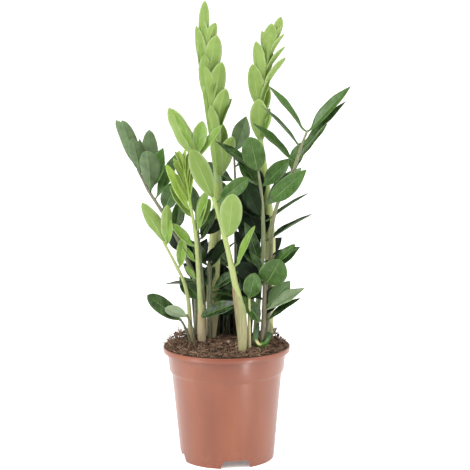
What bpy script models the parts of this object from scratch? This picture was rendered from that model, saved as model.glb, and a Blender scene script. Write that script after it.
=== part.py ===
"""A potted ZZ plant: thick upright shoots and arching fronds in a 17 cm terracotta plastic pot.

Blender 4.5. Metres, +Z up. The origin is the centre of the pot's foot, on the surface it stands on,
and -Y is the front. The sizes below are in millimetres, and MM turns them into metres.
"""

import math

import bmesh
import bpy
from mathutils import Matrix, Vector, noise

MM = 0.001
GAP = 0.3  # left between pieces that touch
SOIL_GAP = 0.4  # a little more round the soil, whose sides are cut in flats

# Pot
POT_HEIGHT = 152.0
RIM_RADIUS = 85.0
LIP_HEIGHT = 7.0
LIP_OVERHANG = 5.7  # how far the lip stands out from the collar below it
COLLAR_HEIGHT = 24.5
COLLAR_TAPER = 2.5
COLLAR_STEP = 3.2  # how far the wall steps in under the collar
STEP_HEIGHT = 5.5
FOOT_RADIUS = 62.5
WALL = 1.8
EDGE_BEVEL = 1.0
LIP_ROUND = 1.6
FOOT_HEIGHT = 11.0
FOOT_NOTCHES = 4
NOTCH_TURN = 10.8  # degrees, from the front towards +X
NOTCH_TOP_WIDTH = 32.0
NOTCH_BOTTOM_WIDTH = 40.0
NOTCH_CLEARANCE = 0.4  # between a notch and the floor
NOTCH_DEPTH = 14.0
DRAIN_RADIUS = 6.0
DRAIN_RING_RADIUS = 40.0
POT_STEPS = 48

# Soil
SOIL_BELOW_RIM = 2.0
SOIL_MOUND = 7.0
SOIL_LUMP = 2.6
LUMP_SIZE = 11.0
SOIL_STEPS = 40
SOIL_RINGS = 9

# Stems
PLANTED = -22.0  # the height of a stem's lower end, from the rim
STEM_SPACING = 24.0  # between a stem's rings
SOCKET_TOP = 40.0  # above the rim, clear of the soil

# Leaflets
LEAF_THICKNESS = 1.4  # along the midrib, at the stalk
LEAF_THINNING = 0.45  # share of that lost by the tip
STALK_HALF_WIDTH = 1.2
FOLD = 16.0  # degrees that each half of a blade is raised from flat
ARCH = 0.07  # how far a tip bends back, as a share of the blade's length
# (share of the length, share of the half width) from the stalk to near the tip
BLADE = ((0.07, 0.12), (0.2, 0.66), (0.38, 0.97), (0.56, 0.98), (0.74, 0.76), (0.9, 0.38))
BLADE_SUNK = 2.5  # how far a blade starts inside the stalk that it is one piece with
ROLLED_BLADE = ((0.07, 0.3), (0.22, 0.78), (0.4, 1.0), (0.58, 0.95), (0.76, 0.7), (0.9, 0.36))

TERRACOTTA = ("terracotta_plastic", (0.48, 0.19, 0.12), 0.42)
PEAT = ("peat_soil", (0.09, 0.055, 0.032), 0.95)
DARK_LEAF = ("mature_leaf", (0.045, 0.13, 0.03), 0.3)
LIGHT_LEAF = ("young_leaf", (0.27, 0.45, 0.07), 0.38)
YOUNG_STEM = ("young_stem", (0.36, 0.4, 0.18), 0.5)
DARK_STEM = ("mature_stem", (0.13, 0.16, 0.07), 0.5)
DRY_SHEATH = ("cut_sheath", (0.09, 0.19, 0.05), 0.5)

# Each shoot: the kind of its leaves, its root as shares of the soil's radius to the right and back,
# its stem's route, and its leaflets.
# A route's points are millimetres right of the root, behind it and above the rim, with the radius.
# A leaflet is its height above the rim, then degrees: clockwise from upright seen from the front,
# towards the front, and rolled about its midrib from facing the front; then its length and width.
SHOOTS = {
    "tall_shoot": {
        "kind": "young",
        "root": (-0.27, 0.44),
        "route": (
            (0, 0, PLANTED, 8.0), (2, 1, 55, 8.5), (5, -2, 124, 8.3),
            (9, -4, 178, 7.0), (11, -5, 216, 5.5),
        ),
        "tip": (
            (11, -5, 217, 5.0), (6, -6, 260, 4.0), (-3, -7, 319, 3.2), (-8, -7, 378, 2.6),
            (-10, -7, 405, 2.0), (-7, -7, 431, 1.4), (-5, -7, 446, 0.9),
        ),
        "clasping": (
            (398, 5, 2, 180, 58, 12),
            (345, -5, 1, 110, 84, 18),
            (385, 21, 4, -150, 46, 17),
            (345, 13, 6, -170, 68, 26),
            (358, 14, -4, -115, 54, 20),
            (306, 14, 7, -170, 72, 25),
            (324, 20, -2, -120, 42, 18),
            (280, 15, 8, -170, 62, 23),
            (270, 21, -2, -125, 58, 22),
            (306, -9, -3, 110, 40, 14),
            (222, 17, 12, -155, 58, 22),
            (222, -5, 10, 155, 58, 18),
            (300, 4, -9, 0, 62, 24),
            (350, 0, -8, 10, 62, 22),
            (236, 4, -14, 0, 60, 24),
        ),
        "leaflets": (),
    },
    "right_shoot": {
        "kind": "young",
        "root": (0.73, 0.38),
        "route": (
            (0, 0, PLANTED, 6.5), (2, 0, 55, 7.0), (3, -3, 138, 7.2), (-1, -8, 193, 6.4),
            (-7, -10, 246, 5.2), (-10, -11, 270, 4.4),
        ),
        "tip": (
            (-10, -11, 271, 4.2), (-9, -11, 299, 3.4), (-9, -12, 322, 3.0), (-7, -12, 342, 2.8),
            (-3, -12, 365, 2.4), (4, -12, 391, 1.8), (11, -12, 415, 1.2),
        ),
        "clasping": (
            (402, 18, 1, 180, 34, 12),
            (378, 7, 5, 175, 47, 21),
            (376, -8, -2, 120, 38, 12),
            (343, -7, 4, 150, 58, 18),
            (314, -8, 6, 165, 60, 23),
            (396, 26, 0, -120, 28, 10),
            (386, 32, 0, -115, 31, 11),
            (363, 36, 2, -110, 40, 13),
            (339, 34, 4, -115, 50, 16),
            (317, 15, 2, -110, 32, 12),
            (274, 0, 10, 180, 55, 26),
            (273, 19, 4, -130, 35, 15),
            (300, 2, -9, 0, 52, 24),
            (350, 8, -9, 0, 48, 20),
        ),
        "leaflets": (),
    },
    "front_shoot": {
        "kind": "young",
        "root": (0.28, -0.56),
        "route": (
            (0, 0, PLANTED, 5.5), (-1, -4, 30, 6.5), (-4, -5, 63, 6.6), (-10, -6, 93, 6.2),
            (-18, -8, 133, 5.2), (-27, -10, 170, 4.3), (-36, -12, 201, 3.4), (-48, -14, 233, 2.6),
            (-60, -16, 260, 1.8),
        ),
        "leaflets": (
            (257, -25, 3, 170, 70, 22),
            (203, -21.5, 12, 184, 72, 28),
            (150, 5, 18, 176, 65, 31),
            (196, 49, -10, -15, 50, 22),
            (112, 19, 10, -60, 60, 16),
            (254, 32, -5, -40, 50, 14),
        ),
    },
    "middle_shoot": {
        "kind": "young",
        "root": (-0.42, -0.02),
        "route": (
            (0, 0, PLANTED, 5.8), (-1, -6, 36, 5.6), (-3, -12, 77, 4.6), (-7, -23, 152, 3.5),
            (-13, -29, 190, 2.8),
        ),
        "tip": ((-13, -29, 191, 2.6), (-17, -31, 219, 2.0), (-22, -33, 245, 1.3)),
        "clasping": (
            (225, -12, 4, 180, 38, 11),
            (214, -20, 2, 130, 42, 12),
            (212, 0, 6, -150, 40, 11),
            (205, 4, 2, -115, 38, 13),
            (212, 11, -2, -110, 30, 11),
            (214, -8, -9, 0, 40, 14),
        ),
        "leaflets": (
            (186, -21, 8, 40, 66, 20),
            (156, 10, 10, -35, 58, 20),
            (136, -39, 8, 45, 42, 16),
            (40, 63, 18, -50, 58, 22),
        ),
    },
    "left_shoot": {
        "kind": "young",
        "root": (-0.6, 0.03),
        "route": (
            (0, 0, PLANTED, 3.8), (-4, -8, 60, 3.2), (-9, -12, 86, 2.8), (-19, -18, 110, 2.4),
            (-34, -26, 141, 1.9),
        ),
        "leaflets": (
            (140, -25, 6, 160, 62, 20),
            (138, -2, 8, -160, 54, 18),
            (106, 4, 10, -10, 42, 15),
        ),
    },
    "left_frond": {
        "kind": "mature",
        "root": (-0.54, 0.45),
        "route": (
            (0, 0, PLANTED, 4.5), (1, 2, 48, 4.3), (-1, 6, 83, 4.0), (-8, 11, 100, 3.6),
            (-18, 18, 122, 3.3), (-34, 28, 154, 3.0), (-54, 40, 184, 2.7), (-65, 48, 200, 2.4),
            (-80, 59, 228, 1.9),
        ),
        "leaflets": (
            (227, -17, 0, 185, 72, 24),
            (222, -25.5, -18, 165, 84, 21),
            (221, -10, 22, 175, 58, 21),
            (202, -1, -10, 180, 80, 26),
            (198, 0, 20, 170, 62, 21),
            (200, 15, 5, -25, 60, 24),
            (172, 24, 30, -15, 56, 27),
            (146, 10, 25, 10, 50, 20),
        ),
    },
    "inner_frond": {
        "kind": "mature",
        "root": (-0.3, 0.13),
        "route": ((0, 0, PLANTED, 3.6), (1, 2, 59, 3.3), (1, 3, 107, 2.8)),
        "leaflets": (
            (105, 23, 8, -50, 46, 20),
            (74, 51, 10, -50, 44, 20),
        ),
    },
    "mid_frond": {
        "kind": "mature",
        "root": (-0.4, 0.28),
        "route": (
            (0, 0, PLANTED, 3.4), (0, -9, 60, 3.2), (-4, -16, 115, 2.8), (-6, -19, 142, 2.5),
            (-8, -23, 176, 1.8),
        ),
        "leaflets": (
            (140, 22, 5, -45, 50, 20),
            (120, -39, 4, 65, 54, 20),
        ),
    },
    "right_frond": {
        "kind": "mature",
        "root": (0.58, 0.13),
        "route": (
            (0, 0, PLANTED, 4.6), (12, -3, 48, 4.3), (14, -24, 118, 4.0), (16, -45, 166, 3.6),
            (25, -66, 203, 3.3), (40, -84, 236, 3.0), (50, -101, 270, 2.4), (57, -109, 289, 1.8),
        ),
        "leaflets": (
            (288, -34, 5, 70, 72, 20),
            (288, 41, 4, -58, 77, 22),
            (271, -39, 0, 74, 68, 18),
            (266, 38, 10, -64, 81, 20),
            (250, 35, -2, -60, 60, 20),
            (250, -42, 8, 58, 70, 22),
        ),
    },
    "centre_frond": {
        "kind": "mature",
        "root": (0.48, -0.05),
        "route": (
            (0, 0, PLANTED, 4.6), (5, 0, 53, 4.2), (12, 2, 128, 3.8), (12, 0, 173, 3.2),
            (9, -3, 213, 2.6), (6, -4, 234, 1.8),
        ),
        "leaflets": (
            (233, -12, 22, 0, 50, 32),
            (213, 41, 10, -20, 52, 24),
            (188, 44, 8, 170, 70, 26),
            (174, -22, 12, 15, 56, 24),
            (140, 55, 5, -75, 72, 18),
        ),
    },
    "low_frond": {
        "kind": "mature",
        "root": (0.56, -0.28),
        "route": (
            (0, 0, PLANTED, 4.6), (6, -5, 38, 4.3), (8, -12, 89, 3.8), (14, -18, 114, 3.0),
            (19, -21, 125, 2.2),
        ),
        "leaflets": (
            (114, 43, 8, -60, 40, 16),
            (90, 25, 46, 0, 56, 38),
            (54, 56, 8, -50, 56, 20),
        ),
    },
    "back_frond": {
        "kind": "mature",
        "root": (0.18, 0.56),
        "route": ((0, 0, PLANTED, 3.2), (-1, 8, 121, 2.5), (-1, 10, 219, 2.0), (-3, 10, 256, 1.5)),
        "leaflets": ((255, 16, -5, 180, 50, 27),),
    },
}

# Two small sprigs, each grown as one piece: a stalk with the leaves that it carries.
SPRIGS = {
    "low_sprig": {
        "root": (-0.56, -0.2),
        "route": ((0, 0, PLANTED, 2.8), (-6, -4, 20, 2.4), (-15, -9, 39, 2.0)),
        "leaflets": ((38, -45, 5, 25, 54, 22), (33, -40, 30, 175, 34, 16)),
    },
    "young_sprig": {
        "root": (0.39, -0.43),
        "route": ((0, 0, PLANTED, 2.4), (0, -2, 28, 2.2), (0, -4, 72, 1.8)),
        "leaflets": ((70, 12, 35, 0, 44, 24),),
    },
}

# The stub of a cut leaf base, curled round the front of the low frond.
SHEATH_RADIUS = 8.5
SHEATH_WALL = 2.0
SHEATH_TOP = 15.0
SHEATH_ARC = 190.0  # degrees
SHEATH_FLARE = 1.5  # how much thicker its wall is at the top
SHEATH_SHIFT = 2.0  # from the frond's root, to the right and to the front
SHEATH_DIP = 0.35  # the height of its middle, as a share of its ends'
SHEATH_DIP_POWER = 1.5
SHEATH_STEPS = 14


def new_collection(name):
    made = bpy.data.collections.new(name)
    bpy.context.scene.collection.children.link(made)
    return made


def material(look):
    """The Principled material of a look: its name, colour and roughness."""
    name, colour, roughness = look
    made = bpy.data.materials.get(name)
    if made is None:
        made = bpy.data.materials.new(name)
        made.use_nodes = True
        shader = made.node_tree.nodes["Principled BSDF"]
        shader.inputs["Base Color"].default_value = (*colour, 1)
        shader.inputs["Roughness"].default_value = roughness
        shader.inputs["Metallic"].default_value = 0
    return made


def add_object(name, data, look, collection):
    made = bpy.data.objects.new(name, data)
    data.materials.clear()
    data.materials.append(material(look))
    collection.objects.link(made)
    return made


def make_helper(helper):
    helper.hide_render = True
    helper.display_type = "WIRE"


def add_boolean(target, operation, other=None, collection=None):
    modifier = target.modifiers.new(operation.lower(), "BOOLEAN")
    modifier.operation = operation
    modifier.solver = "EXACT"
    if collection:
        modifier.operand_type = "COLLECTION"
        modifier.collection = collection
    else:
        modifier.object = other


def as_mesh(name, source, look, collection):
    """A welded mesh object of what source evaluates to. The source goes."""
    graph = bpy.context.evaluated_depsgraph_get()
    mesh = bpy.data.meshes.new_from_object(source.evaluated_get(graph))
    bm = bmesh.new()
    bm.from_mesh(mesh)
    bmesh.ops.remove_doubles(bm, verts=bm.verts, dist=0.01 * MM)
    bm.to_mesh(mesh)
    bm.free()
    made = add_object(name, mesh, look, collection)
    made.matrix_world = source.matrix_world.copy()
    bpy.data.objects.remove(source)
    return made


def turned(name, profile, steps, look, collection):
    """A profile of (radius, height) points turned about the vertical axis, as a mesh."""
    mesh = bpy.data.meshes.new(name)
    bm = bmesh.new()
    points = [bm.verts.new((r * MM, 0, z * MM)) for r, z in profile]
    for start, end in zip(points, points[1:]):
        bm.edges.new((start, end))
    bm.to_mesh(mesh)
    bm.free()
    source = add_object(name + "_profile", mesh, look, collection)
    screw = source.modifiers.new("turn", "SCREW")
    screw.steps = steps
    screw.render_steps = steps
    screw.use_merge_vertices = True
    screw.merge_threshold = 0.05 * MM
    return as_mesh(name, source, look, collection)


def smooth_route(route, spacing):
    """Points (x, y, z, radius) on one smooth curve through the route's own, about spacing apart."""
    found = []
    last = len(route) - 1
    for i in range(last):
        before, start, end, after = (
            Vector(route[max(0, min(last, k))]) for k in (i - 1, i, i + 1, i + 2)
        )
        parts = max(1, round((end - start).xyz.length / spacing))
        for part in range(parts):
            t = part / parts
            found.append(
                0.5
                * (
                    2 * start
                    + (end - before) * t
                    + (2 * before - 5 * start + 4 * end - after) * t * t
                    + (3 * start - before - 3 * end + after) * t**3
                )
            )
    found.append(Vector(route[-1]))
    return found


def tube(name, points, look, collection, extra=0.0):
    """A tube with filled caps through points of (x, y, z, radius), each radius grown by extra."""
    curve = bpy.data.curves.new(name, "CURVE")
    curve.dimensions = "3D"
    curve.bevel_depth = MM
    curve.bevel_resolution = 2
    curve.use_fill_caps = True
    spline = curve.splines.new("POLY")
    spline.points.add(len(points) - 1)
    for target, point in zip(spline.points, points):
        target.co = (*(point.xyz * MM), 1)
        target.radius = point.w + extra
    source = add_object(name + "_curve", curve, look, collection)
    return as_mesh(name, source, look, collection)


def soil_radius():
    """The radius of the soil's edge at the rim."""
    return RIM_RADIUS - LIP_OVERHANG - WALL - SOIL_GAP


def placed(root, route):
    """The route in millimetres from the origin."""
    x, y = (share * soil_radius() for share in root)
    return [(x + dx, y + dy, POT_HEIGHT + h, radius) for dx, dy, h, radius in route]


def on_stem(points, height):
    """The place, the direction and the radius of a stem at a height above the rim."""
    z = POT_HEIGHT + height
    spans = list(zip(points, points[1:]))
    start, end = next((span for span in spans if span[1].z >= z), spans[-1])
    t = min(1, max(0, (z - start.z) / (end.z - start.z)))
    place = start.lerp(end, t)
    return place.xyz, (end.xyz - start.xyz).normalized(), place.w


def blade_axes(clock, toward, roll):
    """The directions along a blade, across it and out of its upper face."""
    clock, toward, roll = (math.radians(angle) for angle in (clock, toward, roll))
    along = Vector((
        math.sin(clock) * math.cos(toward),
        -math.sin(toward),
        math.cos(clock) * math.cos(toward),
    ))
    facing = Vector((0, -1, 0))
    facing = (facing - facing.dot(along) * along).normalized()
    out = Matrix.Rotation(roll, 3, along) @ facing
    return along, along.cross(out), out


def blade(name, stem_points, leaflet, look, collection, shape=BLADE, sunk=0.0):
    """A folded, arching blade that starts just clear of its stem, or sunk into it."""
    height, clock, toward, roll, length, width = leaflet
    along, across, out = blade_axes(clock, toward, roll)
    place, up, radius = on_stem(stem_points, height)
    aside = (along - along.dot(up) * up).normalized()
    start = place + aside * (radius + GAP + STALK_HALF_WIDTH - sunk)
    rise = math.sin(math.radians(FOLD))
    spread = math.cos(math.radians(FOLD))
    bm = bmesh.new()
    rings = []
    stations = [(0.0, 2 * STALK_HALF_WIDTH / width)]
    stations += [(t, max(share, 2 * STALK_HALF_WIDTH / width)) for t, share in shape]
    for t, share in stations:
        half = share * width / 2
        thick = LEAF_THICKNESS * (1 - LEAF_THINNING * t) / 2
        middle = start + along * (t * length) - out * (ARCH * length * t * t)
        edge = out * (half * rise)
        corners = (
            middle - across * (half * spread) + edge,
            middle + out * thick,
            middle + across * (half * spread) + edge,
            middle - out * thick,
        )
        rings.append([bm.verts.new(corner * MM) for corner in corners])
    tip = bm.verts.new((start + along * length - out * (ARCH * length)) * MM)
    bm.faces.new(rings[0])
    for lower, upper in zip(rings, rings[1:]):
        for i in range(4):
            j = (i + 1) % 4
            bm.faces.new((lower[i], lower[j], upper[j]))
            bm.faces.new((lower[i], upper[j], upper[i]))
    for i in range(4):
        bm.faces.new((rings[-1][i], rings[-1][(i + 1) % 4], tip))
    bmesh.ops.recalc_face_normals(bm, faces=bm.faces)
    mesh = bpy.data.meshes.new(name)
    bm.to_mesh(mesh)
    bm.free()
    mesh.shade_smooth()
    return add_object(name, mesh, look, collection)


def wall_corners():
    """The outer corners of the wall, top down: lip's underside, collar's end, step's end, floor."""
    collar_top = RIM_RADIUS - LIP_OVERHANG
    collar_bottom = collar_top - COLLAR_TAPER
    wall_top = collar_bottom - COLLAR_STEP
    lip_bottom = POT_HEIGHT - LIP_HEIGHT
    collar_end = lip_bottom - COLLAR_HEIGHT
    step_end = collar_end - STEP_HEIGHT
    floor = FOOT_HEIGHT + WALL
    slope = (wall_top - FOOT_RADIUS) / step_end
    return (
        (collar_top, lip_bottom),
        (collar_bottom, collar_end),
        (wall_top, step_end),
        (FOOT_RADIUS + slope * floor, floor),
    )


def pot_profile():
    """The pot's section, from the middle of its floor up the inside and down the outside."""
    collar_start, collar_end, step_end, floor = wall_corners()
    inside = [(radius - WALL, z) for radius, z in (floor, step_end, collar_end, collar_start)]
    mouth = collar_start[0] - WALL
    foot_inside = floor[0] - WALL - (floor[0] - FOOT_RADIUS) * WALL / floor[1]
    return (
        (0, floor[1]),
        *inside,
        (mouth, POT_HEIGHT - EDGE_BEVEL),
        (mouth + EDGE_BEVEL, POT_HEIGHT),
        (RIM_RADIUS - LIP_ROUND, POT_HEIGHT),
        (RIM_RADIUS - LIP_ROUND / 4, POT_HEIGHT - LIP_ROUND * 3 / 4),
        (RIM_RADIUS, POT_HEIGHT - LIP_HEIGHT / 2),
        (RIM_RADIUS - LIP_ROUND / 4, POT_HEIGHT - LIP_HEIGHT + EDGE_BEVEL),
        (RIM_RADIUS - LIP_ROUND, POT_HEIGHT - LIP_HEIGHT),
        collar_start,
        collar_end,
        (collar_end[0] - EDGE_BEVEL / 2, collar_end[1] - EDGE_BEVEL),
        (step_end[0] + EDGE_BEVEL, step_end[1] + 2 * EDGE_BEVEL),
        step_end,
        (FOOT_RADIUS, 0),
        (FOOT_RADIUS - WALL, 0),
        (foot_inside, FOOT_HEIGHT),
        (0, FOOT_HEIGHT),
    )


def notch_cutters(collection):
    """Trapezoid blocks across the foot ring, wider at the bottom, and the drain holes' cylinders."""
    bm = bmesh.new()
    middle = FOOT_RADIUS - WALL
    for number in range(FOOT_NOTCHES):
        turn = math.radians(NOTCH_TURN + number * 360 / FOOT_NOTCHES)
        spot = Matrix.Rotation(turn, 4, "Z") @ Matrix.Translation((0, -middle * MM, 0))
        box = bmesh.ops.create_cube(bm, size=1)["verts"]
        for vert in box:
            above = vert.co.z > 0
            width = NOTCH_TOP_WIDTH if above else NOTCH_BOTTOM_WIDTH
            height = FOOT_HEIGHT - NOTCH_CLEARANCE if above else -WALL
            vert.co = Vector((vert.co.x * width, vert.co.y * NOTCH_DEPTH, height)) * MM
        bmesh.ops.transform(bm, matrix=spot, verts=box)
        ring = math.radians(NOTCH_TURN + (number + 0.5) * 360 / FOOT_NOTCHES)
        hole = Matrix.Rotation(ring, 4, "Z") @ Matrix.Translation(
            (0, -DRAIN_RING_RADIUS * MM, (FOOT_HEIGHT + WALL / 2) * MM)
        )
        bmesh.ops.create_cone(
            bm, cap_ends=True, segments=16, radius1=DRAIN_RADIUS * MM,
            radius2=DRAIN_RADIUS * MM, depth=4 * WALL * MM, matrix=hole,
        )
    mesh = bpy.data.meshes.new("foot_cutters")
    bm.to_mesh(mesh)
    bm.free()
    made = add_object("foot_cutters", mesh, TERRACOTTA, collection)
    make_helper(made)
    return made


def make_pot(parts, cutters):
    pot = turned("pot", pot_profile(), POT_STEPS, TERRACOTTA, parts)
    pot.data.shade_smooth()
    pot.data.set_sharp_from_angle(angle=math.radians(35))
    add_boolean(pot, "DIFFERENCE", notch_cutters(cutters))


def soil_height(x, y):
    """The height of the soil's surface at a place, in millimetres."""
    share = min(1, math.hypot(x, y) / soil_radius())
    lump = noise.noise(Vector((x, y, 7.3)) / LUMP_SIZE) * SOIL_LUMP * (1 - share**6)
    return POT_HEIGHT - SOIL_BELOW_RIM + SOIL_MOUND * (1 - share * share) + lump


def make_soil(parts, cutters, sockets):
    """A plug that fills the pot, with a lumpy mound on top and a socket for every stem."""
    inset = WALL + SOIL_GAP
    sides = [(radius - inset, z) for radius, z in wall_corners()]
    floor_radius, floor = sides.pop()
    edge = sides[0][0]
    top = [(edge * i / SOIL_RINGS, POT_HEIGHT) for i in range(SOIL_RINGS + 1)]
    profile = [*top, *sides, (floor_radius, floor + SOIL_GAP), (0, floor + SOIL_GAP)]
    soil = turned("soil", profile, SOIL_STEPS, PEAT, parts)
    for vert in soil.data.vertices:
        x, y, z = vert.co / MM
        if z > POT_HEIGHT - GAP:
            vert.co.z = soil_height(x, y) * MM
    soil.data.shade_smooth()
    cutter_set = new_collection("stem_sockets")
    for socket in sockets:
        cutters.objects.unlink(socket)
        cutter_set.objects.link(socket)
    add_boolean(soil, "DIFFERENCE", collection=cutter_set)


def socket_for(name, points, cutters):
    """The hole that a stem stands in: the stem grown by the gap, from its end to above the soil."""
    below = [point for point in points if point.z < POT_HEIGHT + SOCKET_TOP]
    below = points[: len(below) + 1]
    first = below[0].copy()
    first.z -= GAP
    socket = tube(name + "_socket", [first, *below[1:]], PEAT, cutters, extra=SOIL_GAP)
    make_helper(socket)
    return socket


def make_shoot(name, shoot, parts, cutters):
    """The shoot's stem, its furled tip if it has one, and its leaflets. Returns the stem's socket."""
    young = shoot["kind"] == "young"
    leaf_look = LIGHT_LEAF if young else DARK_LEAF
    stem_look = YOUNG_STEM if young else DARK_STEM
    points = smooth_route(placed(shoot["root"], shoot["route"]), STEM_SPACING)
    stem = tube(name + "_stem", points, stem_look, parts)
    stem.data.shade_smooth()
    for number, leaflet in enumerate(shoot["leaflets"], 1):
        blade(f"{name}_leaflet_{number}", points, leaflet, leaf_look, parts)
    if "tip" in shoot:
        tip_points = smooth_route(placed(shoot["root"], shoot["tip"]), STEM_SPACING)
        core = tube(name + "_furled_tip", tip_points, leaf_look, parts)
        join_blades(core, tip_points, shoot["clasping"], leaf_look, cutters, ROLLED_BLADE)
    return socket_for(name, points, cutters)


def join_blades(core, points, leaflets, look, cutters, shape):
    """Unites blades with the stalk that they grow from."""
    group = new_collection(core.name + "_blades")
    for number, leaflet in enumerate(leaflets, 1):
        name = f"{core.name}_blade_{number}"
        make_helper(blade(name, points, leaflet, look, group, shape, sunk=BLADE_SUNK))
    add_boolean(core, "UNION", collection=group)


def make_sprig(name, sprig, parts, cutters):
    points = smooth_route(placed(sprig["root"], sprig["route"]), STEM_SPACING)
    stalk = tube(name, points, DARK_LEAF, parts)
    join_blades(stalk, points, sprig["leaflets"], DARK_LEAF, cutters, BLADE)
    return socket_for(name, points, cutters)


def sheath(name, look, collection, extra=0.0):
    """A curled strip round the front of the low frond's stem, grown by extra on every side."""
    root = placed(SHOOTS["low_frond"]["root"], SHOOTS["low_frond"]["route"])[0]
    inner = SHEATH_RADIUS - extra
    outer = SHEATH_RADIUS + SHEATH_WALL + extra
    bottom = POT_HEIGHT + PLANTED - extra
    arc = math.radians(SHEATH_ARC) + 2 * extra / SHEATH_RADIUS
    bm = bmesh.new()
    rings = []
    for step in range(SHEATH_STEPS + 1):
        share = step / SHEATH_STEPS
        angle = math.radians(-90) + arc * (share - 0.5)
        side = abs(2 * share - 1) ** SHEATH_DIP_POWER
        top = POT_HEIGHT + SHEATH_TOP * (SHEATH_DIP + (1 - SHEATH_DIP) * side) + extra
        out = Vector((math.cos(angle), math.sin(angle), 0))
        middle = Vector((root[0] + SHEATH_SHIFT, root[1] - SHEATH_SHIFT, 0))
        corners = (
            middle + out * inner + Vector((0, 0, bottom)),
            middle + out * outer + Vector((0, 0, bottom)),
            middle + out * (outer + SHEATH_FLARE) + Vector((0, 0, top)),
            middle + out * inner + Vector((0, 0, top)),
        )
        rings.append([bm.verts.new(corner * MM) for corner in corners])
    for lower, upper in zip(rings, rings[1:]):
        for i in range(4):
            j = (i + 1) % 4
            bm.faces.new((lower[i], lower[j], upper[j], upper[i]))
    bm.faces.new(rings[0])
    bm.faces.new(rings[-1])
    bmesh.ops.recalc_face_normals(bm, faces=bm.faces)
    mesh = bpy.data.meshes.new(name)
    bm.to_mesh(mesh)
    bm.free()
    return add_object(name, mesh, look, collection)


def main():
    for old in list(bpy.data.objects):
        bpy.data.objects.remove(old)
    parts = new_collection("potted_zz_plant")
    cutters = new_collection("cutters")
    make_pot(parts, cutters)
    sockets = [make_shoot(name, shoot, parts, cutters) for name, shoot in SHOOTS.items()]
    sockets += [make_sprig(name, sprig, parts, cutters) for name, sprig in SPRIGS.items()]
    sheath("cut_leaf_base", DRY_SHEATH, parts)
    sockets.append(sheath("cut_leaf_base_socket", PEAT, cutters, extra=SOIL_GAP))
    make_helper(sockets[-1])
    make_soil(parts, cutters, sockets)


main()
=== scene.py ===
# %% [markdown]
# # A potted ZZ plant
# The real object is a young ZZ plant in a thin terracotta-coloured nursery pot. Thick light shoots
# stand among darker fronds, and small waxy leaves sit in pairs along each of them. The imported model
# already says where every stem and leaf is and how big it is. This lesson dresses it: every plain
# solid is replaced by a finely shaped piece in the same place, with a finish made of nodes.

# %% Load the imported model
import math
import random

import bmesh
import bpy
import numpy as np
from mathutils import Matrix, Vector, noise


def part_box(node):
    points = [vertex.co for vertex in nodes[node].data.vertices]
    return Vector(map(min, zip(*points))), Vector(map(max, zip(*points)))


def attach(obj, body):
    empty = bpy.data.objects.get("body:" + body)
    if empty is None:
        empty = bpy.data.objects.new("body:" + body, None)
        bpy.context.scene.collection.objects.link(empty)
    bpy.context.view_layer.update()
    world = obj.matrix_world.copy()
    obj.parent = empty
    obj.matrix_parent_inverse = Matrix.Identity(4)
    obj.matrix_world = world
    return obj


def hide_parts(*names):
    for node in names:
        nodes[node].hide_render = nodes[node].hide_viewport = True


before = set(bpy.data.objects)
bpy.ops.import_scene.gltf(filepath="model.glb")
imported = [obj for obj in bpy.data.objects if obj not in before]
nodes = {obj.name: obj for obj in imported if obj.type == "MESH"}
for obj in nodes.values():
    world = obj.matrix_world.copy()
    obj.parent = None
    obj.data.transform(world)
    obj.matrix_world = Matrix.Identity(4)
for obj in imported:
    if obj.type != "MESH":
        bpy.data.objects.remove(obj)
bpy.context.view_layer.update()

MM = 0.001

# %% [markdown]
# ## Modelling by hand, in code
# An operator acts on whatever is selected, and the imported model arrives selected. So each step first
# deselects everything, then takes one piece, and picks its vertices by where they are.

# %% Helpers for selecting and editing


def take(piece=None):
    """Leaves edit mode and selects this piece alone, or nothing."""
    if bpy.context.object and bpy.context.object.mode != "OBJECT":
        bpy.ops.object.mode_set(mode="OBJECT")
    bpy.ops.object.select_all(action="DESELECT")
    if piece:
        piece.select_set(True)
        bpy.context.view_layer.objects.active = piece


def edit(piece, kind="VERT"):
    """Opens a piece in edit mode with nothing picked."""
    take(piece)
    bpy.ops.object.mode_set(mode="EDIT")
    bpy.ops.mesh.select_mode(type=kind)
    bpy.ops.mesh.select_all(action="DESELECT")


def pick(piece, wanted):
    """Picks the vertices whose place passes the test, and the edges and faces between them."""
    shape = bmesh.from_edit_mesh(piece.data)
    for vert in shape.verts:
        vert.select_set(bool(wanted(vert.co)))
    shape.select_flush_mode()
    bmesh.update_edit_mesh(piece.data)


def named(name):
    piece = bpy.context.active_object
    piece.name = piece.data.name = name
    return piece


def add_object(name, data):
    thing = bpy.data.objects.new(name, data)
    bpy.context.scene.collection.objects.link(thing)
    return thing


def face_outwards(piece, merge=True):
    """Turns the faces of a piece that is open in edit mode outwards, and closes edit mode."""
    bpy.ops.mesh.select_all(action="SELECT")
    if merge:
        bpy.ops.mesh.remove_doubles(threshold=1e-6)
    bpy.ops.mesh.normals_make_consistent(inside=False)
    take(piece)


def part_way(value, low, high):
    """The share of the way from low to high, kept between 0 and 1."""
    return min(1.0, max(0.0, (value - low) / (high - low)))


def apply_modifiers(piece):
    take(piece)
    for modifier in list(piece.modifiers):
        bpy.ops.object.modifier_apply(modifier=modifier.name)


def finish_piece(piece, finish, slot, *stands_for):
    """Gives a piece its finish and its body, and hides the nodes that it stands for. The slot is not
    used.
    """
    piece.data.materials.clear()
    piece.data.materials.append(finish.material)
    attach(piece, "root")
    if stands_for:
        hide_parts(*stands_for)
    return piece


# %% [markdown]
# ## Finishes as expressions
# A finish is a small sum over the surface: a base colour, plus a vein here, less a shadow there.
# Written as Python expressions the sums stay readable. The class below wraps a node's output, so
# that `1 - side * 2` adds the Math nodes that work it out. Colours go through Mix nodes instead,
# because a Math node would turn them grey.

# %% A wrapper for sockets, and one for finishes


def plug(value, socket):
    if isinstance(value, Wire):
        socket.id_data.links.new(value.socket, socket)
    else:
        socket.default_value = value


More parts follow.
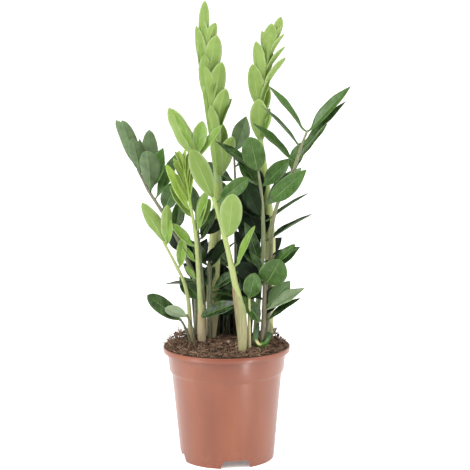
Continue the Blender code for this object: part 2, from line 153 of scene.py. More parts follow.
class Wire:
    """A node's output, as a number that can be reckoned with."""

    def __init__(self, socket):
        self.socket = socket

    def maths(self, operation, *values, clip=False):
        node = self.socket.id_data.nodes.new("ShaderNodeMath")
        node.operation = operation
        node.use_clamp = clip
        for value, socket in zip(values, node.inputs):
            plug(value, socket)
        return Wire(node.outputs[0])

    def __add__(self, other):
        return self.maths("ADD", self, other)

    def __sub__(self, other):
        return self.maths("SUBTRACT", self, other)

    def __rsub__(self, other):
        return self.maths("SUBTRACT", other, self)

    def __mul__(self, other):
        return self.maths("MULTIPLY", self, other)

    def __truediv__(self, other):
        return self.maths("DIVIDE", self, other)

    def __rtruediv__(self, other):
        return self.maths("DIVIDE", other, self)

    def __pow__(self, other):
        return self.maths("POWER", self, other)

    def __abs__(self):
        return self.maths("ABSOLUTE", self)

    __radd__ = __add__
    __rmul__ = __mul__

    def sine(self):
        return self.maths("SINE", self)

    def clipped(self):
        return self.maths("ADD", self, 0.0, clip=True)


def tint(red, green, blue):
    """A colour as a screen shows it, from 0 to 255, as the linear colour that a shader wants."""
    linear = [
        c / 12.92 if c <= 0.04045 else ((c + 0.055) / 1.055) ** 2.4
        for c in (red / 255, green / 255, blue / 255)
    ]
    return (*linear, 1.0)


class Finish:
    """A material, its Principled shader, and the nodes that feed it."""

    def __init__(self, name, **fixed):
        self.material = bpy.data.materials.new(name)
        self.material.use_nodes = True
        self.tree = self.material.node_tree
        self.shader = self.tree.nodes["Principled BSDF"]
        for socket, value in fixed.items():
            self.feed(socket.replace("_", " "), value)

    def feed(self, socket, value):
        plug(value, self.shader.inputs[socket])

    def node(self, kind, settings=None, sockets=None, out=0):
        """Adds a node: its settings first, then the values or wires of its sockets."""
        node = self.tree.nodes.new("ShaderNode" + kind)
        for name, value in (settings or {}).items():
            if name == "stops":
                for stop, (place, colour) in zip(node.color_ramp.elements, value):
                    stop.position, stop.color = place, colour
            else:
                setattr(node, name, value)
        for socket, value in (sockets or {}).items():
            plug(value, node.inputs[socket])
        return Wire(node.outputs[out])

    def place(self):
        return self.node("TexCoord", out="Object")

    def attribute(self, name):
        return self.node("Attribute", {"attribute_name": name}, out="Fac")

    def split(self, vector):
        """The three numbers of a vector."""
        node = self.tree.nodes.new("ShaderNodeSeparateXYZ")
        plug(vector, node.inputs[0])
        return [Wire(out) for out in node.outputs]

    def noise(self, size, detail=3.0, stretch=(1, 1, 1), rough=0.5):
        """Cloudy noise from 0 to 1 whose lumps are about size metres across."""
        spread = self.node(
            "Mapping", {}, {"Vector": self.place(), "Scale": [s / size for s in stretch]}
        )
        return self.node("TexNoise", {}, {
            "Vector": spread, "Scale": 1.0, "Detail": detail, "Roughness": rough
        })

    def blend(self, share, first, second):
        """The first colour where share is 0, and the second where it is 1."""
        return self.node("Mix", {"data_type": "RGBA", "clamp_factor": True}, {
            0: share, 6: first, 7: second
        }, out=2)

    def ramp(self, value, *stops):
        """A colour read off a strip of colours."""
        return self.node("ValToRGB", {"stops": stops}, {"Fac": value})

    def bump(self, height, distance, strength=1.0):
        self.feed("Normal", self.node("Bump", {}, {
            "Strength": strength, "Distance": distance, "Height": height
        }))


def stretch(value, low, high):
    """As part_way, for a value that changes over a surface."""
    return ((value - low) / (high - low)).clipped()


print("shader helpers ready")

# %% [markdown]
# ## The pot's plastic
# The pot is blown or moulded polypropylene coloured to look like fired clay. It has a soft satin
# shine, no grain, and only faint clouds where the melt flowed down the wall. So the colour hardly
# varies, and most of the look comes from the roughness and a very shallow ripple. The middle of the
# collar's front is painted darker as painted shade, and a little dust lies low on the foot.

# %% Moulded terracotta plastic
PLASTIC_RIPPLE = 0.22 * MM


def terracotta_finish():
    made = Finish(
        "moulded_terracotta_plastic", Specular_IOR_Level=0.38, Coat_Weight=0.38,
        Coat_Roughness=0.22, Sheen_Weight=0.03, Sheen_Roughness=0.4,
    )
    flow = made.noise(0.035, detail=2.0, stretch=(1, 1, 0.22))
    cloud = made.noise(0.06, detail=3.0)
    speck = stretch(made.noise(0.0012, detail=2.0), 0.66, 0.78)
    shade = (flow * 0.6 + cloud * 0.4 - 0.32) * 2.4
    colour = made.blend(shade.clipped(), tint(108, 51, 25), tint(125, 66, 36))
    colour = made.blend(speck * 0.15, colour, tint(176, 124, 102))
    x, y, height = made.split(made.place())
    # painted shade: the collar's middle front, towards the camera, is painted a darker red
    painted_front_shade = stretch(height, 0.112, 0.136) * stretch(abs(x - 0.008), 0.05, 0.01)
    painted_front_shade = painted_front_shade * stretch(y, 0.0, -0.04)
    colour = made.blend(painted_front_shade * (0.3 + cloud * 0.3), colour, tint(96, 34, 12))
    dust = stretch(made.noise(0.008, detail=5.0, rough=0.65), 0.5, 0.8) * stretch(height, 0.03, 0.0)
    colour = made.blend(dust * 0.3, colour, tint(160, 116, 96))
    made.feed("Base Color", colour)
    made.feed("Roughness", 0.36 + cloud * 0.12 + dust * 0.2)
    made.bump(made.noise(0.0016, detail=2.0) * 0.4 + flow, PLASTIC_RIPPLE, 0.6)
    return made


terracotta = terracotta_finish()
print("finish:", terracotta.material.name)

# %% [markdown]
# ## The potting mix
# The mix is peat and coir: near-black wet gaps, brown crumbs, and straw-coloured fibres on top. One
# finish makes the ground, with its colour read from a cell pattern and fine noise, and the loose
# pieces get their own shade from a number stored on each of them.

# %% Peat, crumbs, fibres and flecks


def peat_finish():
    made = Finish("damp_peat", Roughness=0.95, Specular_IOR_Level=0.2)
    grain = made.noise(0.0022, detail=6.0, rough=0.7)
    lump = made.noise(0.009, detail=3.0)
    made.feed("Base Color", made.ramp(
        grain * 0.7 + lump * 0.3, (0.36, tint(16, 11, 8)), (0.7, tint(84, 63, 46))
    ))
    made.bump(grain, 0.0012)
    return made


def crumb_finish(name, dark, light, roughness):
    made = Finish(name, Specular_IOR_Level=0.2)
    tone = made.attribute("tone")
    grain = made.noise(0.0014, detail=4.0, rough=0.65)
    made.feed("Base Color", made.blend((tone * 0.75 + grain * 0.45 - 0.1).clipped(), dark, light))
    made.feed("Roughness", roughness + grain * 0.1)
    made.bump(grain, 0.0004)
    return made


peat = peat_finish()
crumb = crumb_finish("peat_crumbs", tint(20, 13, 10), tint(104, 78, 60), 0.85)
fibre = crumb_finish("coir_fibres", tint(46, 30, 22), tint(160, 130, 106), 0.7)
fleck = crumb_finish("pale_flecks", tint(130, 112, 102), tint(196, 182, 172), 0.6)
print("finishes:", [f.material.name for f in (peat, crumb, fibre, fleck)])

# %% [markdown]
# ## Leaf skins
# A ZZ leaf is thick and waxy. Its upper face is glossy with a sunken midrib, and its underside is
# paler and duller, with the midrib standing out. The patterns follow the blade, so they are read
# from its own UV map: across runs from edge to edge and along from stalk to tip. Each leaf also
# carries its own tone, which paints shade deep in the clump, and its faces say whether they are the
# underside. Pale patches lie on it, partly a dusty bloom and partly painted sheen, and its margin is
# lighter. One finish is made for each age of leaf, a pale one that paints the light on leaves that
# catch it, and a nearly black one that paints the shade deep in the clump.

# %% A leaf finish, made once for each age of leaf
TURN = 2 * math.pi


def leaf_finish(
    name, upper, upper_pale, under, under_pale, rib, rim, gloss, under_gloss, fixed, margin=0.88,
):
    """Colours of both faces, the midrib and the rim. The margin starts at this share of the half."""
    made = Finish(name, **fixed)
    across, along, _ = made.split(made.node("UVMap", {"uv_map": "UVMap"}))
    side = abs(across * 2 - 1)
    beneath = made.attribute("underside")
    tone = made.attribute("tone")
    cloud = made.noise(0.012, detail=3.0)
    fine = made.noise(0.0011, detail=3.0)
    # side veins leave the midrib at a slant and fade before the edge
    vein = (((along * 15 - side * 3.4) * TURN + cloud * 2).sine() * 0.5 + 0.5) ** 7
    vein = vein * (1 - side) * stretch(side, 0.03, 0.15)
    rib_line = stretch(0.075 - along * 0.055 - side, 0.0, 0.03)
    rib_line = rib_line * (1 - stretch(along, 0.86, 0.98))
    patch = made.noise(0.005, detail=2.0, stretch=(1, 1, 0.5))
    # the tone, which paints shade deep in the clump, and the clouds choose between each face's two
    # colours
    shade = (tone * 0.6 + cloud * 1.0 + patch * 0.7 - 0.8 + (along - 0.4) * 0.25).clipped()
    face = made.blend(shade, upper, upper_pale)
    # painted sheen with a real bloom: pale patches stand both for a dusty bloom and for patchy shine
    bloom_and_sheen = stretch(made.noise(0.0045, detail=5.0, stretch=(1, 1, 0.45), rough=0.6), 0.48, 0.72)
    face = made.blend(bloom_and_sheen * 0.38, face, rim)
    face = made.blend(stretch(along, 0.2, 0.0) * 0.45, face, rib)
    face = made.blend(vein * 0.26 + rib_line * 0.75, face, rib)
    back = made.blend(shade, under, under_pale)
    back = made.blend(vein * 0.22 + rib_line * 0.8, back, rib)
    colour = made.blend(beneath, face, back)
    colour = made.blend(stretch(side, margin, 1.0) * (0.15 + cloud * 0.8), colour, rim)
    made.feed("Base Color", colour)
    made.feed("Roughness", gloss + beneath * (under_gloss - gloss) + fine * 0.08 + cloud * 0.06)
    relief = vein * 0.5 + fine * 0.06 + cloud * 0.5 - rib_line * 0.6 * (1 - beneath * 2)
    made.bump(relief, 0.0003, 0.6)
    return made


WAXY = {"Specular_IOR_Level": 0.22}
TENDER = {"Specular_IOR_Level": 0.25, "Subsurface_Weight": 0.1, "Subsurface_Scale": 0.002}
dark_leaf = leaf_finish(
    "mature_leaf_skin", tint(6, 15, 5), tint(56, 88, 29), tint(26, 39, 20), tint(90, 110, 74),
    tint(92, 122, 60), tint(88, 116, 70), 0.18, 0.4, WAXY,
)
bright_leaf = leaf_finish(
    "young_leaf_skin", tint(76, 110, 24), tint(104, 134, 44), tint(99, 123, 52), tint(121, 144, 74),
    tint(136, 155, 93), tint(148, 163, 120), 0.36, 0.44, TENDER, 0.66,
)
mid_leaf = leaf_finish(
    "green_leaf_skin", tint(37, 63, 22), tint(65, 95, 37), tint(67, 89, 54), tint(86, 110, 69),
    tint(110, 134, 80), tint(104, 129, 82), 0.32, 0.42, WAXY,
)
fresh_leaf = leaf_finish(
    "fresh_leaf_skin", tint(118, 148, 44), tint(142, 168, 74), tint(122, 146, 58),
    tint(142, 166, 88), tint(160, 180, 108), tint(172, 188, 130), 0.36, 0.44, TENDER, 0.8,
)
# painted light: this paler skin stands for the light that some leaves catch
painted_light_leaf = leaf_finish(
    "painted_light_leaf_skin", tint(72, 96, 52), tint(122, 138, 106), tint(96, 114, 82), tint(128, 142, 114),
    tint(136, 152, 112), tint(146, 160, 130), 0.26, 0.42, WAXY, 0.8,
)
shade_leaf = leaf_finish(
    "shaded_leaf_skin", tint(4, 10, 4), tint(22, 42, 13), tint(12, 24, 10), tint(38, 54, 32),
    tint(36, 56, 26), tint(34, 52, 28), 0.3, 0.45, {"Specular_IOR_Level": 0.1},
)
leaf_skins = (dark_leaf, bright_leaf, mid_leaf, fresh_leaf, painted_light_leaf, shade_leaf)
print("finishes:", [skin.material.name for skin in leaf_skins])

# %% [markdown]
# ## Stem skins
# Young stems are pale olive green and fade to a straw-coloured foot where the old sheath dries on
# them. Old frond stems are grey-green with fine purple-brown mottling. Both have fine lines that run
# along the stem, so the noise is drawn out upwards.

# %% A stem finish, made once for each kind of stem
rim_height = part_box("pot")[1].z


def stem_finish(name, foot, middle, top, foot_end, top_start, mottle, mottle_share, shine=0.4):
    """The heights are metres above the rim."""
    made = Finish(name, Specular_IOR_Level=shine)
    _, _, height = made.split(made.place())
    height = height - rim_height
    streak = made.noise(0.0016, detail=4.0, stretch=(1, 1, 0.05), rough=0.6)
    cloud = made.noise(0.014, detail=3.0, stretch=(1, 1, 0.4))
    wander = (cloud - 0.5) * 0.03
    colour = made.blend(stretch(height + wander, 0.0, foot_end), foot, middle)
    colour = made.blend(stretch(height + wander, top_start, top_start + 0.08), colour, top)
    colour = made.blend(stretch(streak, 0.5, 0.75) * 0.3, colour, tint(176, 178, 136))
    colour = made.blend(stretch(streak, 0.48, 0.3) * 0.3, colour, tint(84, 82, 50))
    spot = stretch(made.noise(0.0018, detail=3.0, stretch=(1, 1, 0.35)), 0.52, 0.66)
    colour = made.blend(spot * mottle_share, colour, mottle)
    made.feed("Base Color", colour)
    made.feed("Roughness", 0.42 + streak * 0.15)
    made.bump(streak, 0.0003, 0.7)
    return made


olive_stem = stem_finish(
    "olive_young_stem", tint(168, 160, 124), tint(156, 162, 102), tint(126, 146, 70), 0.075, 0.13,
    tint(94, 73, 49), 0.2,
)
pale_stem = stem_finish(
    "pale_young_stem", tint(149, 128, 104), tint(138, 149, 92), tint(134, 155, 81), 0.055, 0.12,
    tint(113, 79, 60), 0.2,
)
front_stem = stem_finish(
    "front_young_stem", tint(132, 128, 79), tint(140, 151, 92), tint(132, 155, 79), 0.05, 0.12,
    tint(119, 100, 66), 0.15,
)
frond_stem = stem_finish(
    "mature_frond_stem", tint(75, 71, 50), tint(79, 87, 58), tint(94, 92, 73), 0.06, 0.12,
    tint(56, 41, 39), 0.5,
)
brown_stem = stem_finish(
    "brown_frond_stem", tint(78, 78, 52), tint(84, 76, 56), tint(76, 84, 50), 0.05, 0.085,
    tint(64, 48, 40), 0.5,
)
# painted shade: the short back fronds' stalks are painted nearly black for the shade they stand in
painted_shade_stalk = stem_finish(
    "painted_shade_back_stalk", tint(20, 20, 11), tint(14, 24, 9), tint(24, 38, 16), 0.03, 0.08,
    tint(8, 8, 5), 0.5, 0.1,
)
centre_stem = stem_finish(
    "centre_frond_stem", tint(90, 92, 62), tint(105, 117, 77), tint(113, 121, 88), 0.06, 0.12,
    tint(79, 66, 54), 0.35,
)
right_stem = stem_finish(
    "right_frond_stem", tint(76, 76, 50), tint(92, 94, 60), tint(100, 102, 72), 0.06, 0.12,
    tint(62, 49, 39), 0.45,
)
print("eight stem finishes")


def sheath_finish(name, foot, middle, scorched, fresh):
    made = Finish(name, Specular_IOR_Level=0.35)
    _, _, height = made.split(made.place())
    vein = made.noise(0.0014, detail=4.0, stretch=(1, 1, 0.04), rough=0.6)
    cloud = made.noise(0.018, detail=3.0, stretch=(1, 1, 0.5))
    climb = stretch(height - rim_height + (cloud - 0.5) * 0.05, 0.0, 0.075)
    colour = made.blend(climb, foot, middle)
    across, along, _ = made.split(made.node("UVMap", {"uv_map": "UVMap"}))
    burnt = stretch(along, 0.62, 0.95) * stretch(across, 0.62, 0.3)
    burnt = burnt * stretch(vein + cloud, 0.8, 1.05)
    colour = made.blend(burnt * 0.9, colour, scorched)
    growing = stretch(along, 0.5, 0.95) * stretch(across, 0.42, 0.56)
    colour = made.blend(growing * 0.6, colour, tint(126, 142, 84))
    colour = made.blend(stretch(vein, 0.48, 0.72) * 0.4, colour, tint(178, 170, 134))
    colour = made.blend(stretch(cloud, 0.5, 0.7) * 0.55, colour, fresh)
    colour = made.blend(stretch(vein, 0.46, 0.3) * 0.35, colour, tint(92, 74, 48))
    stain = stretch(made.noise(0.006, detail=3.0, stretch=(1, 1, 0.06)), 0.54, 0.66)
    colour = made.blend(stain * 0.45, colour, tint(92, 70, 50))
    made.feed("Base Color", colour)
    made.feed("Roughness", 0.5 + vein * 0.2)
    made.bump(vein, 0.0004, 0.8)
    return made


papery = sheath_finish(
    "dry_olive_sheath", tint(142, 140, 98), tint(106, 100, 70), tint(122, 78, 56),
    tint(110, 124, 66),
)
straw = sheath_finish(
    "dry_straw_sheath", tint(172, 158, 128), tint(164, 152, 120), tint(156, 106, 76),
    tint(144, 144, 98),
)
print("finishes:", papery.material.name, straw.material.name)

# %% [markdown]
# ## The pot
# A thin tapered pot with a rolled lip, a taller collar under it, a small step, and a foot ring with
# four drainage notches. It is round, so one ring of vertices is extruded and resized up the outside,
# over the lip and down the inside, as a potter's hand would travel. A Bevel modifier rounds the
# corners, and Booleans cut the notches and the drain holes last, so their edges stay crisp.

# %% Turn the pot's wall
POT_SIDES = 128
WALL = 1.8
LIP_HEIGHT = 7.0
LIP_OVERHANG = 5.7
COLLAR_HEIGHT = 24.5
COLLAR_TAPER = 2.5
COLLAR_STEP = 3.2
STEP_HEIGHT = 5.5
FOOT_RADIUS = 62.5
FOOT_HEIGHT = 11.0

pot_high = rim_height / MM
rim_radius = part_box("pot")[1].x / MM
collar_top = rim_radius - LIP_OVERHANG
collar_low = collar_top - COLLAR_TAPER
wall_top = collar_low - COLLAR_STEP
lip_low = pot_high - LIP_HEIGHT
collar_end = lip_low - COLLAR_HEIGHT
step_end = collar_end - STEP_HEIGHT
floor_top = FOOT_HEIGHT + WALL
floor_radius = FOOT_RADIUS + (wall_top - FOOT_RADIUS) * floor_top / step_end

outside = [
    (FOOT_RADIUS, 0.0), (wall_top, step_end), (wall_top + 0.7, step_end + 1.6),
    (collar_low - 0.6, collar_end - 0.6), (collar_low, collar_end + 0.4), (collar_top, lip_low),
    (rim_radius - 0.3, lip_low), (rim_radius, lip_low + 3.5), (rim_radius - 0.3, pot_high),
]
inside = [
    (collar_top - WALL, pot_high), (collar_top - WALL, lip_low), (collar_low - WALL, collar_end),
    (wall_top - WALL, step_end), (floor_radius - WALL, floor_top), (4.0, floor_top),
]
underside = [
    (FOOT_RADIUS - WALL, 0.0), (floor_radius - WALL - 0.4, FOOT_HEIGHT), (4.0, FOOT_HEIGHT),
]


def draw_rings(radius, height, profile):
    """Extrudes the picked ring along a profile of radii and heights, and fills its end."""
    for next_radius, next_height in profile:
        share = next_radius / radius
        bpy.ops.mesh.extrude_region_move(
            TRANSFORM_OT_translate={"value": (0, 0, (next_height - height) * MM)}
        )
        bpy.ops.transform.resize(
            value=(share, share, 1), center_override=(0, 0, next_height * MM)
        )
        radius, height = next_radius, next_height
    bpy.ops.mesh.edge_face_add()


def at_foot(co):
    return abs(co.z) < 1e-5 and abs(co.xy.length - FOOT_RADIUS * MM) < 1e-4


take()
bpy.ops.mesh.primitive_circle_add(vertices=POT_SIDES, radius=FOOT_RADIUS * MM, location=(0, 0, 0))
pot = named("moulded_pot")
for profile in (outside[1:] + inside, underside):
    edit(pot)
    pick(pot, at_foot)
    draw_rings(FOOT_RADIUS, 0.0, profile)
face_outwards(pot)
soften = pot.modifiers.new("soften", "BEVEL")
soften.limit_method = "ANGLE"
soften.angle_limit = math.radians(28)
soften.width = 0.7 * MM
soften.segments = 3
apply_modifiers(pot)
print("pot wall:", len(pot.data.polygons), "faces")

# %% [markdown]
# The cutters are ordinary primitives. A notch starts as a cube whose lower face is widened, and its
# corners are bevelled because the moulded ones are round. The drain holes are cylinders between the
# notches.

# %% Cut the notches and drain holes
NOTCH_TURN = 10.8
NOTCH_TOP = 32.0
NOTCH_BOTTOM = 40.0
NOTCH_HIGH = FOOT_HEIGHT - 0.4
DRAIN_RADIUS = 6.0
DRAIN_RING = 40.0

cutters = []
for quarter in range(4):
    turn = math.radians(NOTCH_TURN + 90 * quarter)
    take()
    bpy.ops.mesh.primitive_cube_add(size=1)
    cutter = named(f"notch_cutter_{quarter}")
    cutter.scale = (NOTCH_TOP * MM, 14 * MM, 2 * NOTCH_HIGH * MM)
    bpy.ops.object.transform_apply(location=True, rotation=True, scale=True)
    edit(cutter)
    pick(cutter, lambda co: co.z < 0)
    bpy.ops.transform.resize(value=(1 + 2 * (NOTCH_BOTTOM / NOTCH_TOP - 1), 1, 1))
    bpy.ops.mesh.select_all(action="DESELECT")
    shape = bmesh.from_edit_mesh(cutter.data)
    for edge in shape.edges:
        low, high = sorted(vert.co.y for vert in edge.verts)
        edge.select_set(high - low > 5 * MM and all(vert.co.z > 0 for vert in edge.verts))
    bmesh.update_edit_mesh(cutter.data)
    bpy.ops.mesh.bevel(offset=1.6 * MM, segments=4)
    take(cutter)
    cutter.matrix_world = Matrix.Rotation(turn, 4, "Z") @ Matrix.Translation(
        (0, -(FOOT_RADIUS - WALL) * MM, 0)
    )
    cutters.append(cutter)
    hole_turn = turn + math.radians(45)
    take()
    bpy.ops.mesh.primitive_cylinder_add(
        vertices=32, radius=DRAIN_RADIUS * MM, depth=8 * MM,
        location=(math.sin(hole_turn) * DRAIN_RING * MM, -math.cos(hole_turn) * DRAIN_RING * MM,
                  (FOOT_HEIGHT + WALL / 2) * MM),
    )
    cutters.append(named(f"drain_cutter_{quarter}"))
for cutter in cutters:
    cut = pot.modifiers.new(cutter.name, "BOOLEAN")
    cut.operation, cut.solver, cut.object = "DIFFERENCE", "EXACT", cutter
apply_modifiers(pot)
for cutter in cutters:
    bpy.data.objects.remove(cutter)
take(pot)
bpy.ops.object.shade_smooth_by_angle(angle=math.radians(32))
finish_piece(pot, terracotta, "terracotta_plastic", "pot")
print("pot:", len(pot.data.polygons), "faces after cutting")

# %% [markdown]
# ## The ground
# The potting mix fills the pot and is heaped above the lip at the left and at the back right, where
# it was pressed round the plants. Its surface is a disc of rings, extruded inwards from the edge,
# then raised by smooth noise. It is closed underneath with the plug that fills the pot.

# %% Model the soil plug
SOIL_GAP = 0.4
SOIL_SIDES = 96
SOIL_RINGS = 34
plug_radius = collar_top - WALL - SOIL_GAP
soil_radius = rim_radius - 1.4
wave = Vector((3.1, 8.7, 1.9))
# millimetres: how high a hump is, then its place and its reach across and back
LEFT_HEAP = (8.5, -60, 22, 30, 34)
RIGHT_HEAP = (9.0, 60, 18, 36, 26)
FRONT_DIP = (-1.5, 0, 60, -62, 22)
# the size of the lumps and their height
LUMPS = ((13, 3.0), (5, 2.0), (2.1, 1.0))
LOWEST_SOIL = 0.25


def hump(x, y, high, at_x, reach_x, at_y, reach_y):
    return high * math.exp(-(((x - at_x) / reach_x) ** 2) - ((y - at_y) / reach_y) ** 2)


def heap(x, y):
    """How far the soil stands above the rim, in millimetres, at a place in millimetres."""
    share = min(1.0, math.hypot(x, y) / soil_radius)
    inward = min(1.0, (1 - share) * 8)
    mound = 0.5 + 4.2 * (1 - share * share)
    piled = (hump(x, y, *LEFT_HEAP) + hump(x, y, *RIGHT_HEAP)) * min(1.0, (1 - share) * 6 + 0.3)
    lumps = sum(noise.noise(Vector((x, y, 0)) / size + wave) * high for size, high in LUMPS)
    dip = hump(x, y, *FRONT_DIP) * inward
    return max(LOWEST_SOIL, mound + piled + dip + lumps * (0.25 + 0.75 * inward))


take()
bpy.ops.mesh.primitive_circle_add(
    vertices=SOIL_SIDES, radius=soil_radius * MM, location=(0, 0, rim_height)
)
soil = named("potting_mix")
edit(soil)
bpy.ops.mesh.select_all(action="SELECT")
for ring in range(SOIL_RINGS - 1):
    share = (SOIL_RINGS - 1 - ring) / (SOIL_RINGS - ring)
    bpy.ops.mesh.extrude_region_move(TRANSFORM_OT_translate={"value": (0, 0, 0)})
    bpy.ops.transform.resize(value=(share, share, 1), center_override=(0, 0, rim_height))
bpy.ops.mesh.edge_face_add()
bpy.ops.mesh.poke()
pick(soil, lambda co: co.xy.length > (soil_radius - 0.5) * MM)
draw_rings(soil_radius, pot_high, [
    (soil_radius - 0.3, pot_high + 0.1), (plug_radius, pot_high + 0.1), (plug_radius, lip_low),
    (collar_low - WALL - SOIL_GAP, collar_end), (wall_top - WALL - SOIL_GAP, step_end),
    (floor_radius - WALL - SOIL_GAP, floor_top + SOIL_GAP),
])
face_outwards(soil, merge=False)
for vert in soil.data.vertices:
    if abs(vert.co.z - rim_height) < 0.01 * MM:
        vert.co.z = rim_height + heap(vert.co.x / MM, vert.co.y / MM) * MM
bpy.ops.object.shade_smooth()
finish_piece(soil, peat, "peat_soil", "soil")
highest = max(vert.co.z for vert in soil.data.vertices)
print("soil:", len(soil.data.polygons), "faces, top at", round(highest, 4))

# %% [markdown]
# Crumbs, fibres and flecks are small and there are many of each, so one of each kind is modelled and
# copied with numbers drawn from a seeded generator. A crumb is an icosphere of twenty faces pulled
# out of shape, and a fibre is a three-sided tube bent along a random curl. Each copy stores its own
# tone, and all the copies of a kind become one piece.

# %% Scatter crumbs, fibres and flecks
draw = random.Random(41)


def join_copies(name, shapes, finish, slot):
    """One mesh from many lists of points and faces, each with its own tone."""
    points, faces, tones = [], [], []
    for shape_points, shape_faces, tone in shapes:
        first = len(points)
        points += shape_points
        faces += [[first + i for i in face] for face in shape_faces]
        tones += [tone] * len(shape_points)
    mesh = bpy.data.meshes.new(name)
    mesh.from_pydata(points, [], faces)
    mesh.attributes.new("tone", "FLOAT", "POINT").data.foreach_set("value", tones)
    mesh.shade_smooth()
    piece = finish_piece(add_object(name, mesh), finish, slot)
    print(name, len(shapes), "copies,", len(faces), "faces")
    return piece


take()
bpy.ops.mesh.primitive_ico_sphere_add(subdivisions=1, radius=1.0)
crumb_master = named("crumb_master")
crumb_points = [vert.co.copy() for vert in crumb_master.data.vertices]
crumb_faces = [tuple(face.vertices) for face in crumb_master.data.polygons]
bpy.data.objects.remove(crumb_master)


def soil_spot(reach=0.97):
    """A random place on the soil, in millimetres."""
    radius = soil_radius * reach * math.sqrt(draw.random())
    angle = draw.uniform(0, TURN)
    return radius * math.cos(angle), radius * math.sin(angle)


def crumb_at(x, y, size, lift=0.0):
    angle = draw.uniform(0, TURN)
    turn = Matrix.Rotation(angle, 3, Vector([draw.uniform(-1, 1) for _ in range(3)]))
    stretched = Vector((draw.uniform(0.7, 1.35), draw.uniform(0.6, 1.1), draw.uniform(0.45, 0.9)))
    centre = Vector((x, y, pot_high + heap(x, y) + size * 0.2 + lift))
    points = []
    for co in crumb_points:
        rough = co * draw.uniform(0.75, 1.2)
        points.append((centre + (turn @ (rough * stretched)) * size * 0.5) * MM)
    return points, crumb_faces, draw.random()


def fibre_at(x, y, length, thick, rise, lift=0.3):
    """A curled strand that starts at the soil and lies on it or rises from it."""
    heading = draw.uniform(0, TURN)
    bend = draw.uniform(-0.55, 0.55)
    slope = rise
    spot = Vector((x, y, pot_high + heap(x, y) + lift))
    steps = 6
    points, faces = [], []
    for step in range(steps + 1):
        forward = Vector((math.cos(heading) * math.cos(slope), math.sin(heading) * math.cos(slope),
                          math.sin(slope)))
        side = forward.cross(Vector((0, 0, 1)) if abs(forward.z) < 0.9 else Vector((1, 0, 0)))
        side.normalize()
        above = side.cross(forward)
        girth = thick * (1 - 0.6 * abs(2 * step / steps - 1) ** 2)
        for corner in range(3):
            angle = TURN * corner / 3
            away = side * math.cos(angle) + above * math.sin(angle)
            points.append((spot + away * girth / 2) * MM)
        spot = spot + forward * (length / steps)
        if rise < 0.35:
            on_soil = spot.xy.length < soil_radius
            ground = pot_high + heap(spot.x, spot.y) + lift if on_soil else spot.z
            spot.z = 0.35 * spot.z + 0.65 * max(ground, spot.z - 1.5)
        heading += bend + draw.uniform(-0.25, 0.25)
        slope += draw.uniform(-0.28, 0.22)
    for step in range(steps):
        low, high = step * 3, step * 3 + 3
        for corner in range(3):
            after = (corner + 1) % 3
            faces.append((low + corner, low + after, high + after, high + corner))
    faces += [(2, 1, 0), (steps * 3, steps * 3 + 1, steps * 3 + 2)]
    return points, faces, draw.random()


def drawn_fibre(x, y, lengths, widths, rises, lift=0.3):
    """A fibre whose length, width and rise are each drawn between two limits."""
    return fibre_at(x, y, draw.uniform(*lengths), draw.uniform(*widths), draw.uniform(*rises), lift)


crumbs = []
crumb_sizes = ((2300, 0.985, (1.0, 2.6)), (380, 0.93, (2.6, 4.8)), (90, 0.9, (5.0, 8.0)))
for count, reach, sizes in crumb_sizes:
    for _ in range(count):
        crumbs.append(crumb_at(*soil_spot(reach), draw.uniform(*sizes)))
join_copies("peat_crumbs", crumbs, crumb, "peat_soil")

fibres = []
for _ in range(2000):
    fibres.append(drawn_fibre(*soil_spot(0.965), (3, 10), (0.35, 0.8), (-0.1, 0.35), 0.7))
for _ in range(240):
    fibres.append(drawn_fibre(*soil_spot(0.95), (3, 7), (0.45, 0.8), (0.4, 1.1)))
# some lighter strands lie on top, and a few pale ones stand beside the front shoot
for _ in range(220):
    points, faces, _ = drawn_fibre(*soil_spot(0.93), (8, 16), (0.5, 0.9), (0.0, 0.3), 1.3)
    fibres.append((points, faces, draw.uniform(0.7, 1.2)))
for _ in range(9):
    x, y = draw.gauss(9, 3), draw.gauss(-34, 5)
    points, faces, _ = drawn_fibre(x, y, (8, 14), (0.8, 1.2), (0.5, 1.0), 1.0)
    fibres.append((points, faces, 1.2))
# strands stand in tufts where the mix is heaped
tufts = ((-66, 14, 90), (-54, 44, 80), (60, 40, 90), (20, 66, 10), (-74, -12, 30))
for centre_x, centre_y, count in tufts:
    for _ in range(count):
        x, y = centre_x + draw.gauss(0, 8), centre_y + draw.gauss(0, 9)
        if math.hypot(x, y) < soil_radius - 3:
            fibres.append(drawn_fibre(x, y, (5, 13), (0.5, 0.9), (0.3, 1.2)))
# and some hang over the lip, round three directions in degrees
for centre, spread, count in ((188, 0.35, 46), (-4, 0.3, 22), (150, 0.3, 30)):
    for _ in range(count):
        angle = draw.gauss(math.radians(centre), spread)
        reach = soil_radius - draw.uniform(1.5, 5)
        x, y = reach * math.cos(angle), reach * math.sin(angle)
        fibres.append(drawn_fibre(x, y, (3, 7), (0.4, 0.8), (0.1, 0.7)))
join_copies("coir_fibres", fibres, fibre, "peat_soil")

flecks = []
for _ in range(22):
    flecks.append(crumb_at(*soil_spot(0.95), draw.uniform(0.9, 1.9), lift=0.9))
flecks.append(crumb_at(3, -14, 6.0, lift=1.6))
flecks.append(crumb_at(-11, 16, 5.0, lift=1.6))
join_copies("pale_flecks", flecks, fleck, "peat_soil")

# %% [markdown]
# ## Stems
# Every stem is a round stalk that tapers as it climbs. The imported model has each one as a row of
# eight-sided rings, so a ring's middle and its mean radius give the stalk's route. A curve with a
# round bevel is the tool for a stalk, because it keeps its section square to its route in a bend.
# It is turned into a mesh and its ends are merged closed.

# %% Read the stems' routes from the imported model
RING_SIDES = 8


def read_route(node):
    """The middle and radius of each ring of a stem node, from the foot up."""
    places = {tuple(round(c, 6) for c in vert.co) for vert in nodes[node].data.vertices}
    places = sorted(places, key=lambda co: co[2])
    route = []
    for first in range(0, len(places), RING_SIDES):
        ring = [Vector(co) for co in places[first:first + RING_SIDES]]
        middle = sum(ring, Vector()) / len(ring)
        route.append(Vector((*middle, sum((co - middle).length for co in ring) / len(ring))))
    return route


